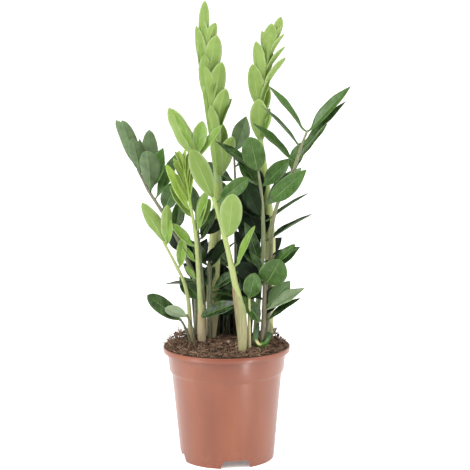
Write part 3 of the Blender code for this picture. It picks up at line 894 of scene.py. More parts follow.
def smooth_route(route, spacing=4 * MM):
    """Points on one smooth curve through a route's own points."""
    found = []
    last = len(route) - 1
    for i in range(last):
        before, start, end, after = (route[max(0, min(last, k))] for k in (i - 1, i, i + 1, i + 2))
        parts = max(1, round((end - start).xyz.length / spacing))
        for part in range(parts):
            t = part / parts
            found.append(0.5 * (
                2 * start + (end - before) * t
                + (2 * before - 5 * start + 4 * end - after) * t * t
                + (3 * start - before - 3 * end + after) * t**3
            ))
    found.append(route[-1].copy())
    return found


stem_names = sorted(name for name in nodes if name.endswith("_stem"))
routes = {name[:-5]: read_route(name) for name in stem_names}
for name, route in routes.items():
    print(f"{name}: {len(route)} rings, {route[0].w / MM:.1f} to {route[-1].w / MM:.1f} mm radius")

# %% [markdown]
# A leaf joins its stem at a node, where the stem is a little thicker. The leaf nodes of the packed
# model say how high those joints are, so the swellings come from them.

# %% Grow the stems
STALK_SIDES = 16
NODE_LENGTH = 3.2 * MM
NODE_SWELLING = 0.16
TIP_TAPER = ((0.35, 0.9), (0.7, 0.6), (0.92, 0.28), (1.0, 0.06))


def leaf_nodes(shoot):
    return sorted((n for n in nodes if n.startswith(shoot + "_leaflet_")), key=lambda n: int(n[-1]))


def grow_stalk(name, route, swellings=(), tip_length=0.0):
    """A closed tube along a route of points with radii, thicker at the swellings' heights."""
    points = smooth_route(route)
    for point in points:
        bulge = sum(math.exp(-(((point.z - z) / NODE_LENGTH) ** 2)) for z in swellings)
        ripple = noise.noise(Vector((point.z * 60, len(name), 0.4))) * 0.03
        point.w *= 1 + NODE_SWELLING * min(1.0, bulge) + ripple
    if tip_length:
        ahead = (points[-1] - points[-2]).xyz.normalized()
        end = points[-1].copy()
        for share, girth in TIP_TAPER:
            points.append(Vector((*(end.xyz + ahead * tip_length * share), end.w * girth)))
    curve = bpy.data.curves.new(name, "CURVE")
    curve.dimensions = "3D"
    curve.bevel_depth = 1.0
    curve.bevel_resolution = STALK_SIDES // 2 - 2
    curve.use_fill_caps = True
    spline = curve.splines.new("POLY")
    spline.points.add(len(points) - 1)
    for target, point in zip(spline.points, points):
        target.co = (*point.xyz, 1)
        target.radius = point.w
    take(add_object(name, curve))
    bpy.ops.object.convert(target="MESH")
    stalk = named(name)
    edit(stalk)
    face_outwards(stalk)
    bpy.ops.object.shade_smooth_by_angle(angle=math.radians(50))
    return stalk


stem_looks = {
    "tall_shoot": olive_stem, "right_shoot": olive_stem, "front_shoot": front_stem,
    "middle_shoot": pale_stem, "left_shoot": pale_stem, "low_frond": brown_stem,
    "centre_frond": centre_stem, "right_frond": right_stem,
}
# a stem narrows to a share of its packed girth between two heights above the rim, in millimetres
slimmer = {
    "right_frond": (0.72, 0, 100), "centre_frond": (0.78, 0, 100), "left_frond": (0.85, 0, 100),
    "back_frond": (0.85, 0, 100), "front_shoot": (0.68, 56, 84), "middle_shoot": (0.66, 8, 70),
    "left_shoot": (0.85, 0, 60), "low_frond": (0.74, -60, -20),
}
SHEATHED = ("front_shoot", "middle_shoot", "right_shoot", "tall_shoot")
SHEATHED_FOOT = (44, -6)
FOOT_NARROWING = 0.26

paths, full_paths = {}, {}
for shoot, route in routes.items():
    full_paths[shoot] = smooth_route(route)
    share, low, high = slimmer.get(shoot, (1.0, 0, 100))
    route[:] = smooth_route(route, 8 * MM)
    for point in route:
        height = (point.z - rim_height) / MM
        point.w *= 1 + (share - 1) * part_way(height, low, high)
        if shoot in SHEATHED:
            point.w *= 1 - FOOT_NARROWING * part_way(height, *SHEATHED_FOOT)
    joints = [min(v.co.z for v in nodes[leaf].data.vertices) for leaf in leaf_nodes(shoot)]
    look = stem_looks.get(shoot, frond_stem)
    tip = 0.0 if shoot + "_furled_tip" in nodes else 2.5 * route[-1].w
    stem = grow_stalk(shoot + "_stalk", route, joints, tip_length=tip)
    slot = "young_stem" if shoot.endswith("_shoot") else "mature_stem"
    finish_piece(stem, look, slot, shoot + "_stem")
    paths[shoot] = smooth_route(route)
print(len(paths), "stalks")

# %% [markdown]
# ## The leaf
# All the leaves come from one flat master: a grid whose rows are resized to the leaf's outline, with
# extra columns beside the midrib. Solidify gives it a thickness that thins towards the edge, and the
# midrib is pressed into the upper face and drawn out of the lower one. Its width runs from -1 to 1
# and its length from 0 to 1, so that each copy can be bent to its own size and pose. An outline is
# given as shares of the length and of the half width.

# %% Model the master leaves
ROWS = 20
COLUMNS = (0.0, 0.07, 0.3, 0.58, 0.82, 1.0)
OVAL = (
    (0.0, 0.1), (0.05, 0.13), (0.1, 0.3), (0.2, 0.65), (0.3, 0.88), (0.4, 0.985), (0.5, 1.0),
    (0.6, 0.96), (0.7, 0.84), (0.8, 0.62), (0.9, 0.34), (0.95, 0.18), (1.0, 0.015),
)
BLUNT = (
    (0.0, 0.1), (0.05, 0.13), (0.1, 0.3), (0.2, 0.62), (0.3, 0.83), (0.4, 0.95), (0.5, 1.0),
    (0.6, 1.0), (0.7, 0.95), (0.8, 0.83), (0.9, 0.6), (0.95, 0.42), (1.0, 0.06),
)
LANCE = (
    (0.0, 0.14), (0.05, 0.2), (0.1, 0.38), (0.2, 0.66), (0.3, 0.86), (0.4, 0.97), (0.5, 1.0),
    (0.6, 0.99), (0.7, 0.93), (0.8, 0.78), (0.9, 0.53), (0.95, 0.34), (1.0, 0.03),
)
EDGE_FLESH = 0.3
MIDRIB_SUNK, MIDRIB_PROUD = -0.28, -0.6


def read_outline(outline, t):
    return float(np.interp(t, *zip(*outline)))


def model_leaf(name, outline):
    take()
    bpy.ops.mesh.primitive_grid_add(
        x_subdivisions=2 * len(COLUMNS) - 2, y_subdivisions=ROWS, size=2, location=(0, 1, 0)
    )
    leaf = named(name)
    bpy.ops.object.transform_apply(location=True, rotation=True, scale=True)
    step = 1 / (len(COLUMNS) - 1)
    for vert in leaf.data.vertices:
        vert.co.y /= 2
        place = round(abs(vert.co.x) / step)
        vert.co.x = math.copysign(COLUMNS[place], vert.co.x)
    chart = leaf.data.uv_layers["UVMap"]
    for loop, spot in zip(leaf.data.loops, chart.data):
        co = leaf.data.vertices[loop.vertex_index].co
        spot.uv = ((co.x + 1) / 2, co.y)
    edit(leaf)
    for row in range(ROWS + 1):
        t = row / ROWS
        pick(leaf, lambda co: abs(co.y - t) < 1e-4)
        bpy.ops.transform.resize(value=(read_outline(outline, t), 1, 1), center_override=(0, t, 0))
    take(leaf)
    flesh = leaf.vertex_groups.new(name="flesh")
    for vert in leaf.data.vertices:
        half = read_outline(outline, vert.co.y)
        edge = abs(vert.co.x) / half > 0.99 or vert.co.y > 0.999
        flesh.add([vert.index], EDGE_FLESH if edge else 1.0, "REPLACE")
    thicken = leaf.modifiers.new("thicken", "SOLIDIFY")
    thicken.thickness = 1.0
    thicken.offset = 0.0
    thicken.vertex_group = "flesh"
    apply_modifiers(leaf)
    edit(leaf)
    for up, depth in ((True, MIDRIB_SUNK), (False, MIDRIB_PROUD)):
        pick(leaf, lambda co: abs(co.x) < 1e-5 and 0.02 < co.y < 0.93 and (co.z > 0) == up)
        bpy.ops.transform.translate(value=(0, 0, depth))
    take(leaf)
    leaf.vertex_groups.clear()
    below = leaf.data.attributes.new("underside", "FLOAT", "FACE")
    below.data.foreach_set("value", [float(face.normal.z < 0) for face in leaf.data.polygons])
    bpy.ops.object.shade_smooth()
    print(name, len(leaf.data.polygons), "faces, box", [round(d, 3) for d in leaf.dimensions])
    mesh = leaf.data
    bpy.data.objects.remove(leaf)
    return mesh


oval_leaf = model_leaf("oval_leaf_master", OVAL)
blunt_leaf = model_leaf("blunt_leaf_master", BLUNT)
lance_leaf = model_leaf("lance_leaf_master", LANCE)

# %% [markdown]
# A copy of the master is bent in four ways at once: it arches back along its length, folds up either
# side of the midrib, twists, and its edges wave a little. The first rows are drawn into the stem, so
# that the short stalk joins it.

# %% Bend a copy of the master into place
STALK_SHARE = 0.09


def bent_leaf(master, base, along, out, length, width, joint, **pose):
    """A mesh with the master's faces. The pose says how the leaf arches, folds, sways and twists,
    and joint is the place in the stem that the foot of its stalk is drawn to."""
    arch, sway, fold, twist, rippled, phase = (
        pose.get(key, usual) for key, usual in (
            ("arch", 0.07), ("sway", 0), ("fold", 16), ("twist", 0), ("wave", 0.02), ("phase", 0),
        )
    )
    mesh = master.copy()
    co = np.empty(len(mesh.vertices) * 3)
    mesh.vertices.foreach_get("co", co)
    s, t, z = co.reshape(-1, 3).T
    along, out = np.array(along), np.array(out)
    across = np.cross(along, out)
    bend = arch * t**2
    slope = 2 * arch * t
    swing = sway * (t**2 - 0.35 * t**4)
    swing_slope = sway * (2 * t - 1.4 * t**3)
    middle = np.outer(t, along) - np.outer(bend, out) + np.outer(swing, across)
    ahead = along[None] - np.outer(slope, out) + np.outer(swing_slope, across)
    ahead /= np.linalg.norm(ahead, axis=1)[:, None]
    normal = out[None] - (ahead @ out)[:, None] * ahead
    normal /= np.linalg.norm(normal, axis=1)[:, None]
    side = np.cross(ahead, normal)
    turn = np.radians(twist) * t
    side, normal = (
        side * np.cos(turn)[:, None] + normal * np.sin(turn)[:, None],
        normal * np.cos(turn)[:, None] - side * np.sin(turn)[:, None],
    )
    angle = np.radians(fold) * (1.15 - 0.45 * t)
    half = width / 2
    spread = s * half * np.cos(angle)
    rise = np.abs(s) ** 1.25 * half * np.sin(angle)
    rise += rippled * width * np.sin(TURN * (1.6 * t + phase)) * s * np.abs(s) * np.sin(np.pi * t)
    thick = MM * (1.0 - 0.35 * t + 0.9 * np.exp(-((t / 0.06) ** 2)))
    place = np.array(base) + middle * length + side * spread[:, None]
    place += normal * (rise + z * thick)[:, None]
    pull = np.clip(1 - t / STALK_SHARE, 0, 1)
    place += np.outer(pull, np.array(joint) - np.array(base))
    mesh.vertices.foreach_set("co", place.ravel())
    mesh.attributes.new("tone", "FLOAT", "POINT").data.foreach_set(
        "value", np.full(len(mesh.vertices), pose.get("tone", 0.5))
    )
    mesh.update()
    return mesh


def painted_clump_shade(base):
    """Painted shade: leaves deep in the clump get a darker tone than those at its outside and at the
    top.
    """
    outward = (math.hypot(base[0], base[1]) / MM - 20) / 80
    upward = (base[2] - rim_height) / 0.5
    return min(1.2, max(-0.3, outward * 0.9 + upward * 0.4 + draw.uniform(-0.15, 0.45)))


def leaf_piece(name, meshes, finish, slot, *stands_for):
    """One piece from one or more bent leaves."""
    take()
    made = [add_object(f"{name}_{index}", mesh) for index, mesh in enumerate(meshes)]
    for leaf in made:
        leaf.select_set(True)
    bpy.context.view_layer.objects.active = made[0]
    if len(made) > 1:
        bpy.ops.object.join()
    return finish_piece(named(name), finish, slot, *stands_for)


def nearest_on(path, spot):
    """The middle and radius of a stem nearest to a place."""
    return min(path, key=lambda point: (point.xyz - spot).length)


def inner_joint(path, base):
    near = nearest_on(path, base)
    away = base - near.xyz
    return near.xyz + away * min(1.0, 0.35 * near.w / away.length)


# %% [markdown]
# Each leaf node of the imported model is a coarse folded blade. Its stalk end has four corners close
# together and its tip is a single point, which says which way it points. The corners beside the
# midrib show how wide it is and which face is the upper one, because the edges are raised on that
# side.

# %% Replace the leaf nodes
NODE_ARCH = 0.07
NODE_FOLD = 16


def read_leaf(node):
    """The base, direction, upper side, length and width of a leaf node."""
    verts = nodes[node].data.vertices
    places = np.array(sorted({tuple(round(c, 6) for c in vert.co) for vert in verts}))
    gaps = np.linalg.norm(places[:, None] - places[None], axis=2)
    ends = np.unravel_index(gaps.argmax(), gaps.shape)
    crowd = [np.sort(gaps[end])[3] for end in ends]
    foot, tip = (ends if crowd[0] < crowd[1] else ends[::-1])
    corners = places[np.argsort(gaps[foot])[:4]]
    base, tip = Vector(corners.mean(axis=0)), Vector(places[tip])
    chord = (tip - base).normalized()
    span = (tip - base).length
    share = (places - np.array(base)) @ np.array(chord) / span
    ring = places[(share > 0.3) & (share < 0.62)]
    climb = np.outer((ring - np.array(base)) @ np.array(chord), np.array(chord))
    flat = ring - climb - np.array(base)
    apart = np.linalg.norm(flat[:, None] - flat[None], axis=2)
    one, other = np.unravel_index(apart.argmax(), apart.shape)
    across = Vector(flat[one] - flat[other]).normalized()
    out = chord.cross(across).normalized()
    edge = (Vector(flat[one]) + Vector(flat[other])) / 2
    rib = [Vector(spot) for spot in flat if abs(Vector(spot).dot(across) - edge.dot(across)) < 2e-3]
    rib = sum(rib, Vector()) / max(1, len(rib))
    if (edge - rib).dot(out) < 0:
        out.negate()
    along = (chord + out * NODE_ARCH).normalized()
    out = (out - out.dot(along) * along).normalized()
    width = apart.max() / math.cos(math.radians(NODE_FOLD))
    return base, along, out, span, width


def drawn_pose(most_fold):
    """A leaf's own ripple, twist, sway and fold."""
    return {
        "phase": draw.random(), "wave": draw.uniform(0.02, 0.08),
        "twist": draw.uniform(-12, 12), "sway": draw.uniform(-0.04, 0.04),
        "fold": draw.uniform(14, most_fold),
    }


def shoot_looks(shoot):
    """The master, finish and slot that the leaves of a shoot usually have."""
    if shoot.endswith("_shoot"):
        return lance_leaf, bright_leaf, "young_leaf"
    return oval_leaf, dark_leaf, "mature_leaf"


# what a leaf has that others of its kind don't; wider is a share of its packed width
special = {
    "middle_shoot_leaflet_4": {"finish": dark_leaf, "shift": (-9, -7, 0), "tone": 0.1},
    "front_shoot_leaflet_4": {"finish": mid_leaf},
    "front_shoot_leaflet_5": {"finish": bright_leaf},
    "left_frond_leaflet_1": {"master": blunt_leaf}, "left_frond_leaflet_2": {"master": blunt_leaf},
    "left_frond_leaflet_3": {"master": blunt_leaf}, "left_frond_leaflet_4": {"master": blunt_leaf},
    "left_frond_leaflet_5": {"master": blunt_leaf, "wider": 1.5, "tone": 1.1},
    "left_frond_leaflet_6": {"wider": 1.3},
    "low_frond_leaflet_1": {"master": blunt_leaf},
    "centre_frond_leaflet_1": {"finish": mid_leaf, "master": blunt_leaf, "tone": 0.9},
    "low_frond_leaflet_2": {"finish": mid_leaf, "master": blunt_leaf},
    "right_frond_leaflet_2": {"sway": -0.1},
    "front_shoot_leaflet_3": {"tone": 0.7}, "front_shoot_leaflet_2": {"tone": -0.3},
    "front_shoot_leaflet_1": {"wave": 0.12, "fold": 22, "tone": 1.1, "wider": 1.15},
    "left_shoot_leaflet_1": {"wave": 0.12, "tone": 0.3},
    "left_shoot_leaflet_2": {"wave": 0.1, "tone": 0.5},
    "middle_shoot_leaflet_1": {"tone": 0.6, "finish": fresh_leaf, "wider": 0.8},
    "middle_shoot_leaflet_2": {"tone": 1.0, "wider": 0.8, "fold": 32},
    "centre_frond_leaflet_4": {"finish": shade_leaf, "tone": 0.8},
    "centre_frond_leaflet_5": {"tone": 0.0},
    "mid_frond_leaflet_2": {"finish": shade_leaf, "tone": 0.5},
    "inner_frond_leaflet_1": {"finish": shade_leaf, "tone": 0.6},
    # painted light: this leaf's paler skin stands for the glint on it
    "low_frond_leaflet_3": {"finish": painted_light_leaf, "tone": 0.6},
    "centre_frond_leaflet_3": {"tone": 1.1}, "back_frond_leaflet_1": {"tone": 1.4},
}
replaced = []
for shoot, path in paths.items():
    for node in leaf_nodes(shoot):
        base, along, out, length, width = read_leaf(node)
        master, finish, slot = shoot_looks(shoot)
        # the usual tone is painted shade: darker deep in the clump, lighter outside and at the top
        pose = {"tone": painted_clump_shade(base), **drawn_pose(26), **special.get(node, {})}
        width *= pose.pop("wider", 1.0)
        base = base + Vector(pose.pop("shift", (0, 0, 0))) * MM
        finish = pose.pop("finish", finish)
        master = pose.pop("master", master)
        joint = inner_joint(path, base)
        mesh = bent_leaf(master, base, along, out, length, width, joint, **pose)
        replaced.append(leaf_piece(node.replace("leaflet", "leaf"), [mesh], finish, slot, node))
print(len(replaced), "leaf nodes replaced")

# %% [markdown]
# ## The smaller leaves
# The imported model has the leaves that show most. The real plant has more: small ones deep in the
# clump, folded ones seen edge on, and those at the back. They are set on the same stems, each by its
# height above the rim, its direction as on a clock face, how far it leans to the front, and its roll
# about its midrib, all in degrees. The last two numbers are its length and width in millimetres.

# %% Set the smaller leaves on their stems


def on_path(path, height):
    """The middle, direction and radius of a stem at a height above the rim in millimetres."""
    z = rim_height + height * MM
    spans = list(zip(path, path[1:]))
    start, end = next((span for span in spans if span[1].z >= z), spans[-1])
    point = start.lerp(end, part_way(z, start.z, end.z))
    return point.xyz, (end.xyz - start.xyz).normalized(), point.w


def leaf_axes(clock, toward, roll):
    clock, toward, roll = (math.radians(angle) for angle in (clock, toward, roll))
    along = Vector((
        math.sin(clock) * math.cos(toward), -math.sin(toward), math.cos(clock) * math.cos(toward)
    ))
    facing = Vector((0, -1, 0))
    facing = (facing - facing.dot(along) * along).normalized()
    return along, Matrix.Rotation(roll, 3, along) @ facing


def set_leaf(path, row, master, sunk=0.0, **pose):
    """A leaf on a stem, its foot sunk in by some millimetres."""
    height, clock, toward, roll, length, width = row
    along, out = leaf_axes(clock, toward, roll)
    middle, up, radius = on_path(path, height)
    aside = (along - along.dot(up) * up).normalized()
    base = middle + aside * (radius + (1.5 - sunk) * MM)
    # the usual tone is painted shade: darker deep in the clump, lighter outside and at the top
    pose.setdefault("tone", painted_clump_shade(base))
    joint = middle + aside * radius * 0.35
    return bent_leaf(master, base, along, out, length * MM, width * MM, joint, **pose)


def set_leaves(path, rows, master, **shared):
    return [set_leaf(path, row, master, **{**drawn_pose(28), **shared}) for row in rows]


smaller = {
    "left_frond": ((215, -6, 4, 180, 57, 14), (188, 24, -14, -20, 74, 18)),
    "inner_frond": (
        (105, -27, 5, 55, 42, 20), (106, 41, -5, -85, 46, 16), (70, 97, 5, -75, 38, 16),
        (60, 70, -20, 10, 50, 22),
    ),
    "mid_frond": (
        (176, -4, 4, 40, 38, 18), (58, -42, -15, 10, 44, 24), (82, -86, 0, 88, 46, 16),
        (76, 20, -20, 0, 36, 18),
    ),
    "front_shoot": ((258, -24, 10, 40, 62, 12), (258, 10, -10, 0, 44, 20)),
    "middle_shoot": (
        (176, -30, 4, 40, 48, 17), (116, -35, 4, 40, 26, 10), (92, -34, 4, 40, 22, 9),
        (168, 16, 5, -40, 44, 15), (158, 20, -4, -20, 44, 16),
    ),
    "left_shoot": ((138, 6, 10, -20, 34, 12),),
    "right_frond": ((235, 16, -8, -30, 40, 18), (230, 28, -5, -60, 34, 14)),
    "centre_frond": (
        (214, -32, -5, 10, 46, 22), (234, -50, -3, 55, 66, 20), (216, -38, -15, 70, 52, 18),
        (166, 52, 0, -84, 68, 16), (112, -16, 8, 30, 58, 18), (105, -34, 0, 20, 40, 15),
    ),
    "low_frond": (
        (102, 45, 0, -60, 52, 18), (38, 51, 4, -70, 54, 16),
        (36, -32, 18, 30, 46, 22), (98, -27, -10, 40, 38, 12),
    ),
    "back_frond": (
        (130, 33, 10, -20, 58, 20), (180, -40, -35, 0, 60, 24), (150, 50, -40, 0, 60, 24),
        (215, -60, -20, 0, 56, 22), (95, -45, -30, 10, 58, 24), (70, 40, -25, -10, 56, 24),
        (235, 48, -25, 0, 54, 22),
    ),
}
for shoot, rows in smaller.items():
    master, finish, slot = shoot_looks(shoot)
    leaf_piece(shoot + "_smaller_leaves", set_leaves(paths[shoot], rows, master), finish, slot)
print(sum(len(rows) for rows in smaller.values()), "smaller leaves")
pale = set_leaves(paths["low_frond"], ((56, 42, -8, 176, 46, 26),), oval_leaf, tone=0.6)
leaf_piece("low_frond_pale_leaf", pale, mid_leaf, "mature_leaf")
# one leaf starts at the left of the right frond's stem and crosses in front of it
crossed = paths["right_frond"]
spot = on_path(crossed, 197)[0] + Vector((-12, -10, 0)) * MM
along, out = leaf_axes(46, 23, -6)
crossing = bent_leaf(
    oval_leaf, spot, along, out, 68 * MM, 25 * MM, inner_joint(crossed, spot), tone=1.3, fold=20,
    wave=0.05,
)
leaf_piece("right_frond_crossing_leaf", [crossing], dark_leaf, "mature_leaf")
shaded = {
    "centre_frond": (
        (112, 62, 12, -55, 52, 17), (168, -32, -12, 10, 62, 28), (148, -30, -16, -10, 60, 28),
        (126, -30, -10, 14, 56, 26), (190, -14, -22, 0, 60, 28), (140, -8, -24, 0, 60, 30),
        (118, -44, -6, 8, 48, 24),
    ),
    "mid_frond": ((150, 62, -12, 10, 40, 18), (112, 60, -20, 0, 40, 18)),
    "inner_frond": ((46, 84, -6, 0, 40, 20),),
    "low_frond": ((88, -52, -12, 10, 46, 24), (66, -40, -8, 0, 46, 24), (44, 20, -25, 0, 44, 24)),
}
for shoot, rows in shaded.items():
    meshes = set_leaves(paths[shoot], rows, oval_leaf, tone=0.1)
    leaf_piece(shoot + "_shaded_leaves", meshes, shade_leaf, "mature_leaf")
print(sum(len(rows) for rows in shaded.values()), "shaded leaves")

# %% [markdown]
# ## Short dark fronds at the back
# Behind the tall shoots a few short old fronds crowd together in the shade. Each is a stalk with
# two leaves at its top, both painted nearly black as painted shade. A row gives its root, then its
# top and height, both in millimetres, its radius, and its leaves as before.

# %% Grow the short fronds at the back
short_fronds = (
    ((-24, 44), (-20, 46, 82), 5.6, ((78, 62, 4, 0, 42, 18), (80, -60, -20, 0, 46, 22))),
    ((-15, 34), (-12, 38, 66), 5.4, ((62, 88, 10, 10, 46, 18), (64, -75, -5, 0, 40, 18))),
    ((-8, 48), (-5, 54, 74), 5.4, ((70, 50, -8, 0, 38, 18), (70, -50, -12, 0, 44, 18))),
    ((-1, 36), (1, 42, 60), 5.6, ((56, 70, -8, 0, 38, 18), (58, -84, 6, -10, 44, 18))),
    ((6, 50), (8, 56, 64), 5.4, ((60, -60, -14, 0, 42, 20), (62, 58, -12, 0, 42, 20))),
    ((13, 38), (16, 46, 84), 5.0, ((80, 38, -12, 0, 46, 22), (80, -58, -4, 0, 44, 20))),
    ((22, 30), (26, 36, 70), 4.0, ((66, 44, -12, 0, 42, 20), (66, -40, 0, 0, 44, 22))),
    ((30, 52), (40, 60, 110), 3.8, ((106, 50, -20, 0, 50, 22), (90, -30, -16, 0, 46, 20))),
    ((-40, 48), (-50, 58, 120), 3.8, ((116, -44, -20, 0, 50, 22), (96, 28, -16, 0, 46, 20))),
)
FOOT_DEPTH = 12
STALK_TAPER = 0.35
for index, ((x, y), (top_x, top_y, top), radius, rows) in enumerate(short_fronds):
    points = [
        Vector((
            (x + (top_x - x) * share) * MM, (y + (top_y - y) * share) * MM,
            rim_height + (top * share - FOOT_DEPTH * (1 - share)) * MM,
            radius * (1 - STALK_TAPER * share) * MM,
        ))
        for share in (0.0, 0.3, 0.65, 1.0)
    ]
    stalk = grow_stalk(f"short_frond_{index}_stalk", points, tip_length=6 * MM)
    finish_piece(stalk, painted_shade_stalk, "mature_stem")
    meshes = set_leaves(smooth_route(points), rows, oval_leaf, sunk=2.0, tone=0.0)
    leaf_piece(f"short_frond_{index}_leaves", meshes, shade_leaf, "mature_leaf")
print(len(short_fronds), "short fronds")

# %% [markdown]
# ## The furled tips
# A young shoot ends in a spear of leaves that haven't opened yet. Each is rolled about the shoot and
# overlaps the next. They use the narrow master, folded harder and pressed towards the shoot. A tip
# has a route, given from its shoot's root with a radius, then its leaves and its finish.

# %% Model the furled tips
tips = {
    "tall_shoot": (
        ((11, -5, 217, 5.0), (6, -6, 260, 4.2), (-3, -7, 319, 3.8), (-8, -7, 378, 3.2),
         (-10, -7, 405, 2.6), (-7, -7, 431, 1.8), (-5, -7, 446, 1.0)),
        ((396, 3, 2, 180, 60, 16), (372, -3, 0, 150, 62, 17), (352, -6, 0, 140, 72, 20),
         (384, 19, 4, -160, 46, 18), (345, 12, 7, -172, 68, 27), (306, 14, 7, -172, 72, 27),
         (280, 14, 9, -172, 64, 25), (296, -6, 4, 165, 74, 22), (250, -5, 6, 160, 70, 20),
         (222, 15, 12, -160, 60, 24), (222, -5, 10, 160, 58, 20), (300, 4, -9, 0, 66, 26),
         (350, 0, -8, 10, 66, 26), (236, 4, -14, 0, 62, 26), (322, -4, 5, 175, 64, 22)),
        bright_leaf,
    ),
    "right_shoot": (
        ((-10, -11, 271, 4.2), (-9, -11, 299, 3.6), (-9, -12, 322, 3.2), (-7, -12, 342, 3.0),
         (-3, -12, 365, 2.6), (4, -12, 391, 2.0), (11, -12, 415, 1.2)),
        ((400, 17, 1, 180, 36, 14), (376, 8, 6, 178, 50, 22), (374, -7, -1, 140, 42, 15),
         (343, -6, 5, 160, 60, 20), (312, -8, 7, 170, 62, 24), (396, 27, -1, -125, 30, 12),
         (384, 33, 0, -120, 34, 12), (363, 36, 2, -115, 42, 14), (339, 34, 4, -120, 52, 17),
         (317, 14, 2, -120, 36, 14), (270, -1, 11, 180, 58, 27), (273, 19, 4, -130, 35, 15),
         (300, 2, -9, 0, 54, 26), (350, 8, -9, 0, 50, 22)),
        bright_leaf,
    ),
    "middle_shoot": (
        ((-13, -29, 191, 2.6), (-17, -31, 219, 2.2), (-22, -33, 245, 1.3)),
        ((196, -24, 4, 50, 42, 15), (207, -22, 3, 60, 44, 14), (219, -24, 1, 50, 38, 13),
         (231, -22, 0, 60, 34, 12), (240, -14, 0, 160, 24, 9), (202, 6, 3, -50, 44, 13),
         (213, 6, 2, -60, 44, 12), (224, 5, 0, -50, 38, 12), (234, 2, -1, -60, 32, 11),
         (214, -8, -9, 0, 44, 15)),
        fresh_leaf,
    ),
}
inner_leaves = {
    "tall_shoot": (
        (356, 15, -4, -60, 56, 20), (326, 19, -2, -60, 46, 18), (272, 21, -2, -60, 60, 26),
    ),
    "right_shoot": ((322, 16, 2, -60, 36, 14), (268, 12, 6, -50, 46, 16)),
}


def rooted(root_x, root_y, steps):
    """Points with radii, from steps in millimetres that start at a root in metres."""
    return [
        Vector((root_x + dx * MM, root_y + dy * MM, rim_height + height * MM, radius * MM))
        for dx, dy, height, radius in steps
    ]


for shoot, (tip_route, rows, look) in tips.items():
    points = rooted(*routes[shoot][0].xy, tip_route)
    start = points[0].lerp(routes[shoot][-2], 0.35)
    core = grow_stalk(shoot + "_tip_core", [start, *points[1:]], tip_length=3 * points[-1].w)
    core.data.attributes.new("underside", "FLOAT", "FACE").data.foreach_set(
        "value", [1.0] * len(core.data.polygons)
    )
    path = smooth_route(points)
    meshes = set_leaves(path, rows, lance_leaf, sunk=2.5, fold=30.0, arch=0.02, wave=0.03)
    leaf_piece(shoot + "_furled_leaves", meshes, look, "young_leaf", shoot + "_furled_tip")
    finish_piece(core, look, "young_leaf")
    if shoot in inner_leaves:
        inner = set_leaves(
            path, inner_leaves[shoot], lance_leaf, sunk=2.5, fold=24.0, arch=0.02, tone=-0.1
        )
        leaf_piece(shoot + "_inner_leaves", inner, bright_leaf, "young_leaf")
    print(shoot, "tip:", len(rows), "rolled leaves")

# %% [markdown]
# ## The two sprigs
# Two small stalks grow straight from the soil: one has a dark glossy leaf, with a paler one on a
# side stalk beside it whose paleness is painted light, and the other has one young leaf. A root is a
# share of the soil's radius.

# %% Model the sprigs
sprigs = {
    "low_sprig": (
        (-0.56, -0.2), ((0, 0, -22, 2.0), (-7, -4, 18, 1.7), (-17, -9, 40, 1.5)),
        ((38, -50, 5, 25, 56, 23),), dark_leaf, frond_stem, {"tone": 0.35},
    ),
    # painted light: the side leaf's pale skin stands for the light it catches
    "low_sprig_side": (
        (-0.52, -0.22), ((0, 0, -22, 1.9), (-4, -6, 24, 1.6), (-11, -12, 46, 1.4)),
        ((44, -62, 16, 165, 34, 17),), painted_light_leaf, frond_stem, {"tone": 0.7},
    ),
    "young_sprig": (
        (0.39, -0.43), ((0, 0, -22, 2.4), (0, -2, 28, 2.2), (0, -4, 72, 1.8)),
        ((70, 12, 35, 0, 44, 24),), mid_leaf, olive_stem, {"tone": 0.6},
    ),
}
for name, (root, sprig_route, rows, leaf_look, stem_look, pose) in sprigs.items():
    points = rooted(*(share * plug_radius * MM for share in root), sprig_route)
    stalk = grow_stalk(name + "_stalk", points, tip_length=2 * points[-1].w)
    finish_piece(stalk, stem_look, "mature_leaf")
    meshes = set_leaves(smooth_route(points), rows, blunt_leaf, sunk=2.5, **pose)
    leaf_piece(name + "_leaves", meshes, leaf_look, "mature_leaf", *({name} & set(nodes)))
print("sprigs:", len(sprigs))

# %% [markdown]
# ## Sheaths and the cut leaf base
# A young shoot comes up through a papery sheath that stays round its foot, higher on one side. The
# cut leaf base is much the same: a thick green strip round the foot of the lowest frond, low and
# pale in front, where it was cut. Both start as a grid that is wrapped round the stem and thickened.

# %% Wrap the sheaths


def wrap_strip(name, shoot, facing, span, low, top_at, gap, flare, thick, pinch=0.0):
    """A strip round a stem. The angles are degrees from the front, the lengths are millimetres, and
    top_at gives the height of the top edge from -1 at one side to 1 at the other."""
    take()
    bpy.ops.mesh.primitive_grid_add(x_subdivisions=36, y_subdivisions=20, size=2)
    strip = named(name)
    for vert in strip.data.vertices:
        side, climb = vert.co.x, (vert.co.y + 1) / 2
        angle = math.radians(facing + side * span / 2)
        ragged = noise.noise(Vector((side * 5, 0.3, len(name)))) * 1.6 * climb
        height = low + (top_at(side) + ragged - low) * climb
        middle, _, radius = on_path(full_paths[shoot], height)
        _, _, slim = on_path(paths[shoot], height)
        outside = radius * (1 - pinch * part_way(height, *SHEATHED_FOOT)) + gap * MM
        closing = max(0.0, climb - 0.6) / 0.4
        if not flare:
            outside += (slim + 0.7 * MM - outside) * closing**1.5
        curl = noise.noise(Vector((side * 3, climb * 2, 7.7))) * 0.5 + flare * climb**2
        outside += curl * MM
        vert.co = middle + Vector((math.sin(angle), -math.cos(angle), 0)) * outside
    thicken = strip.modifiers.new("thicken", "SOLIDIFY")
    thicken.thickness = thick * MM
    thicken.offset = 0.0
    soften = strip.modifiers.new("soften", "BEVEL")
    soften.width = 0.25 * thick * MM
    soften.segments = 2
    soften.limit_method = "ANGLE"
    soften.angle_limit = math.radians(50)
    apply_modifiers(strip)
    edit(strip)
    face_outwards(strip, merge=False)
    bpy.ops.object.shade_smooth()
    print(name, len(strip.data.polygons), "faces")
    return strip


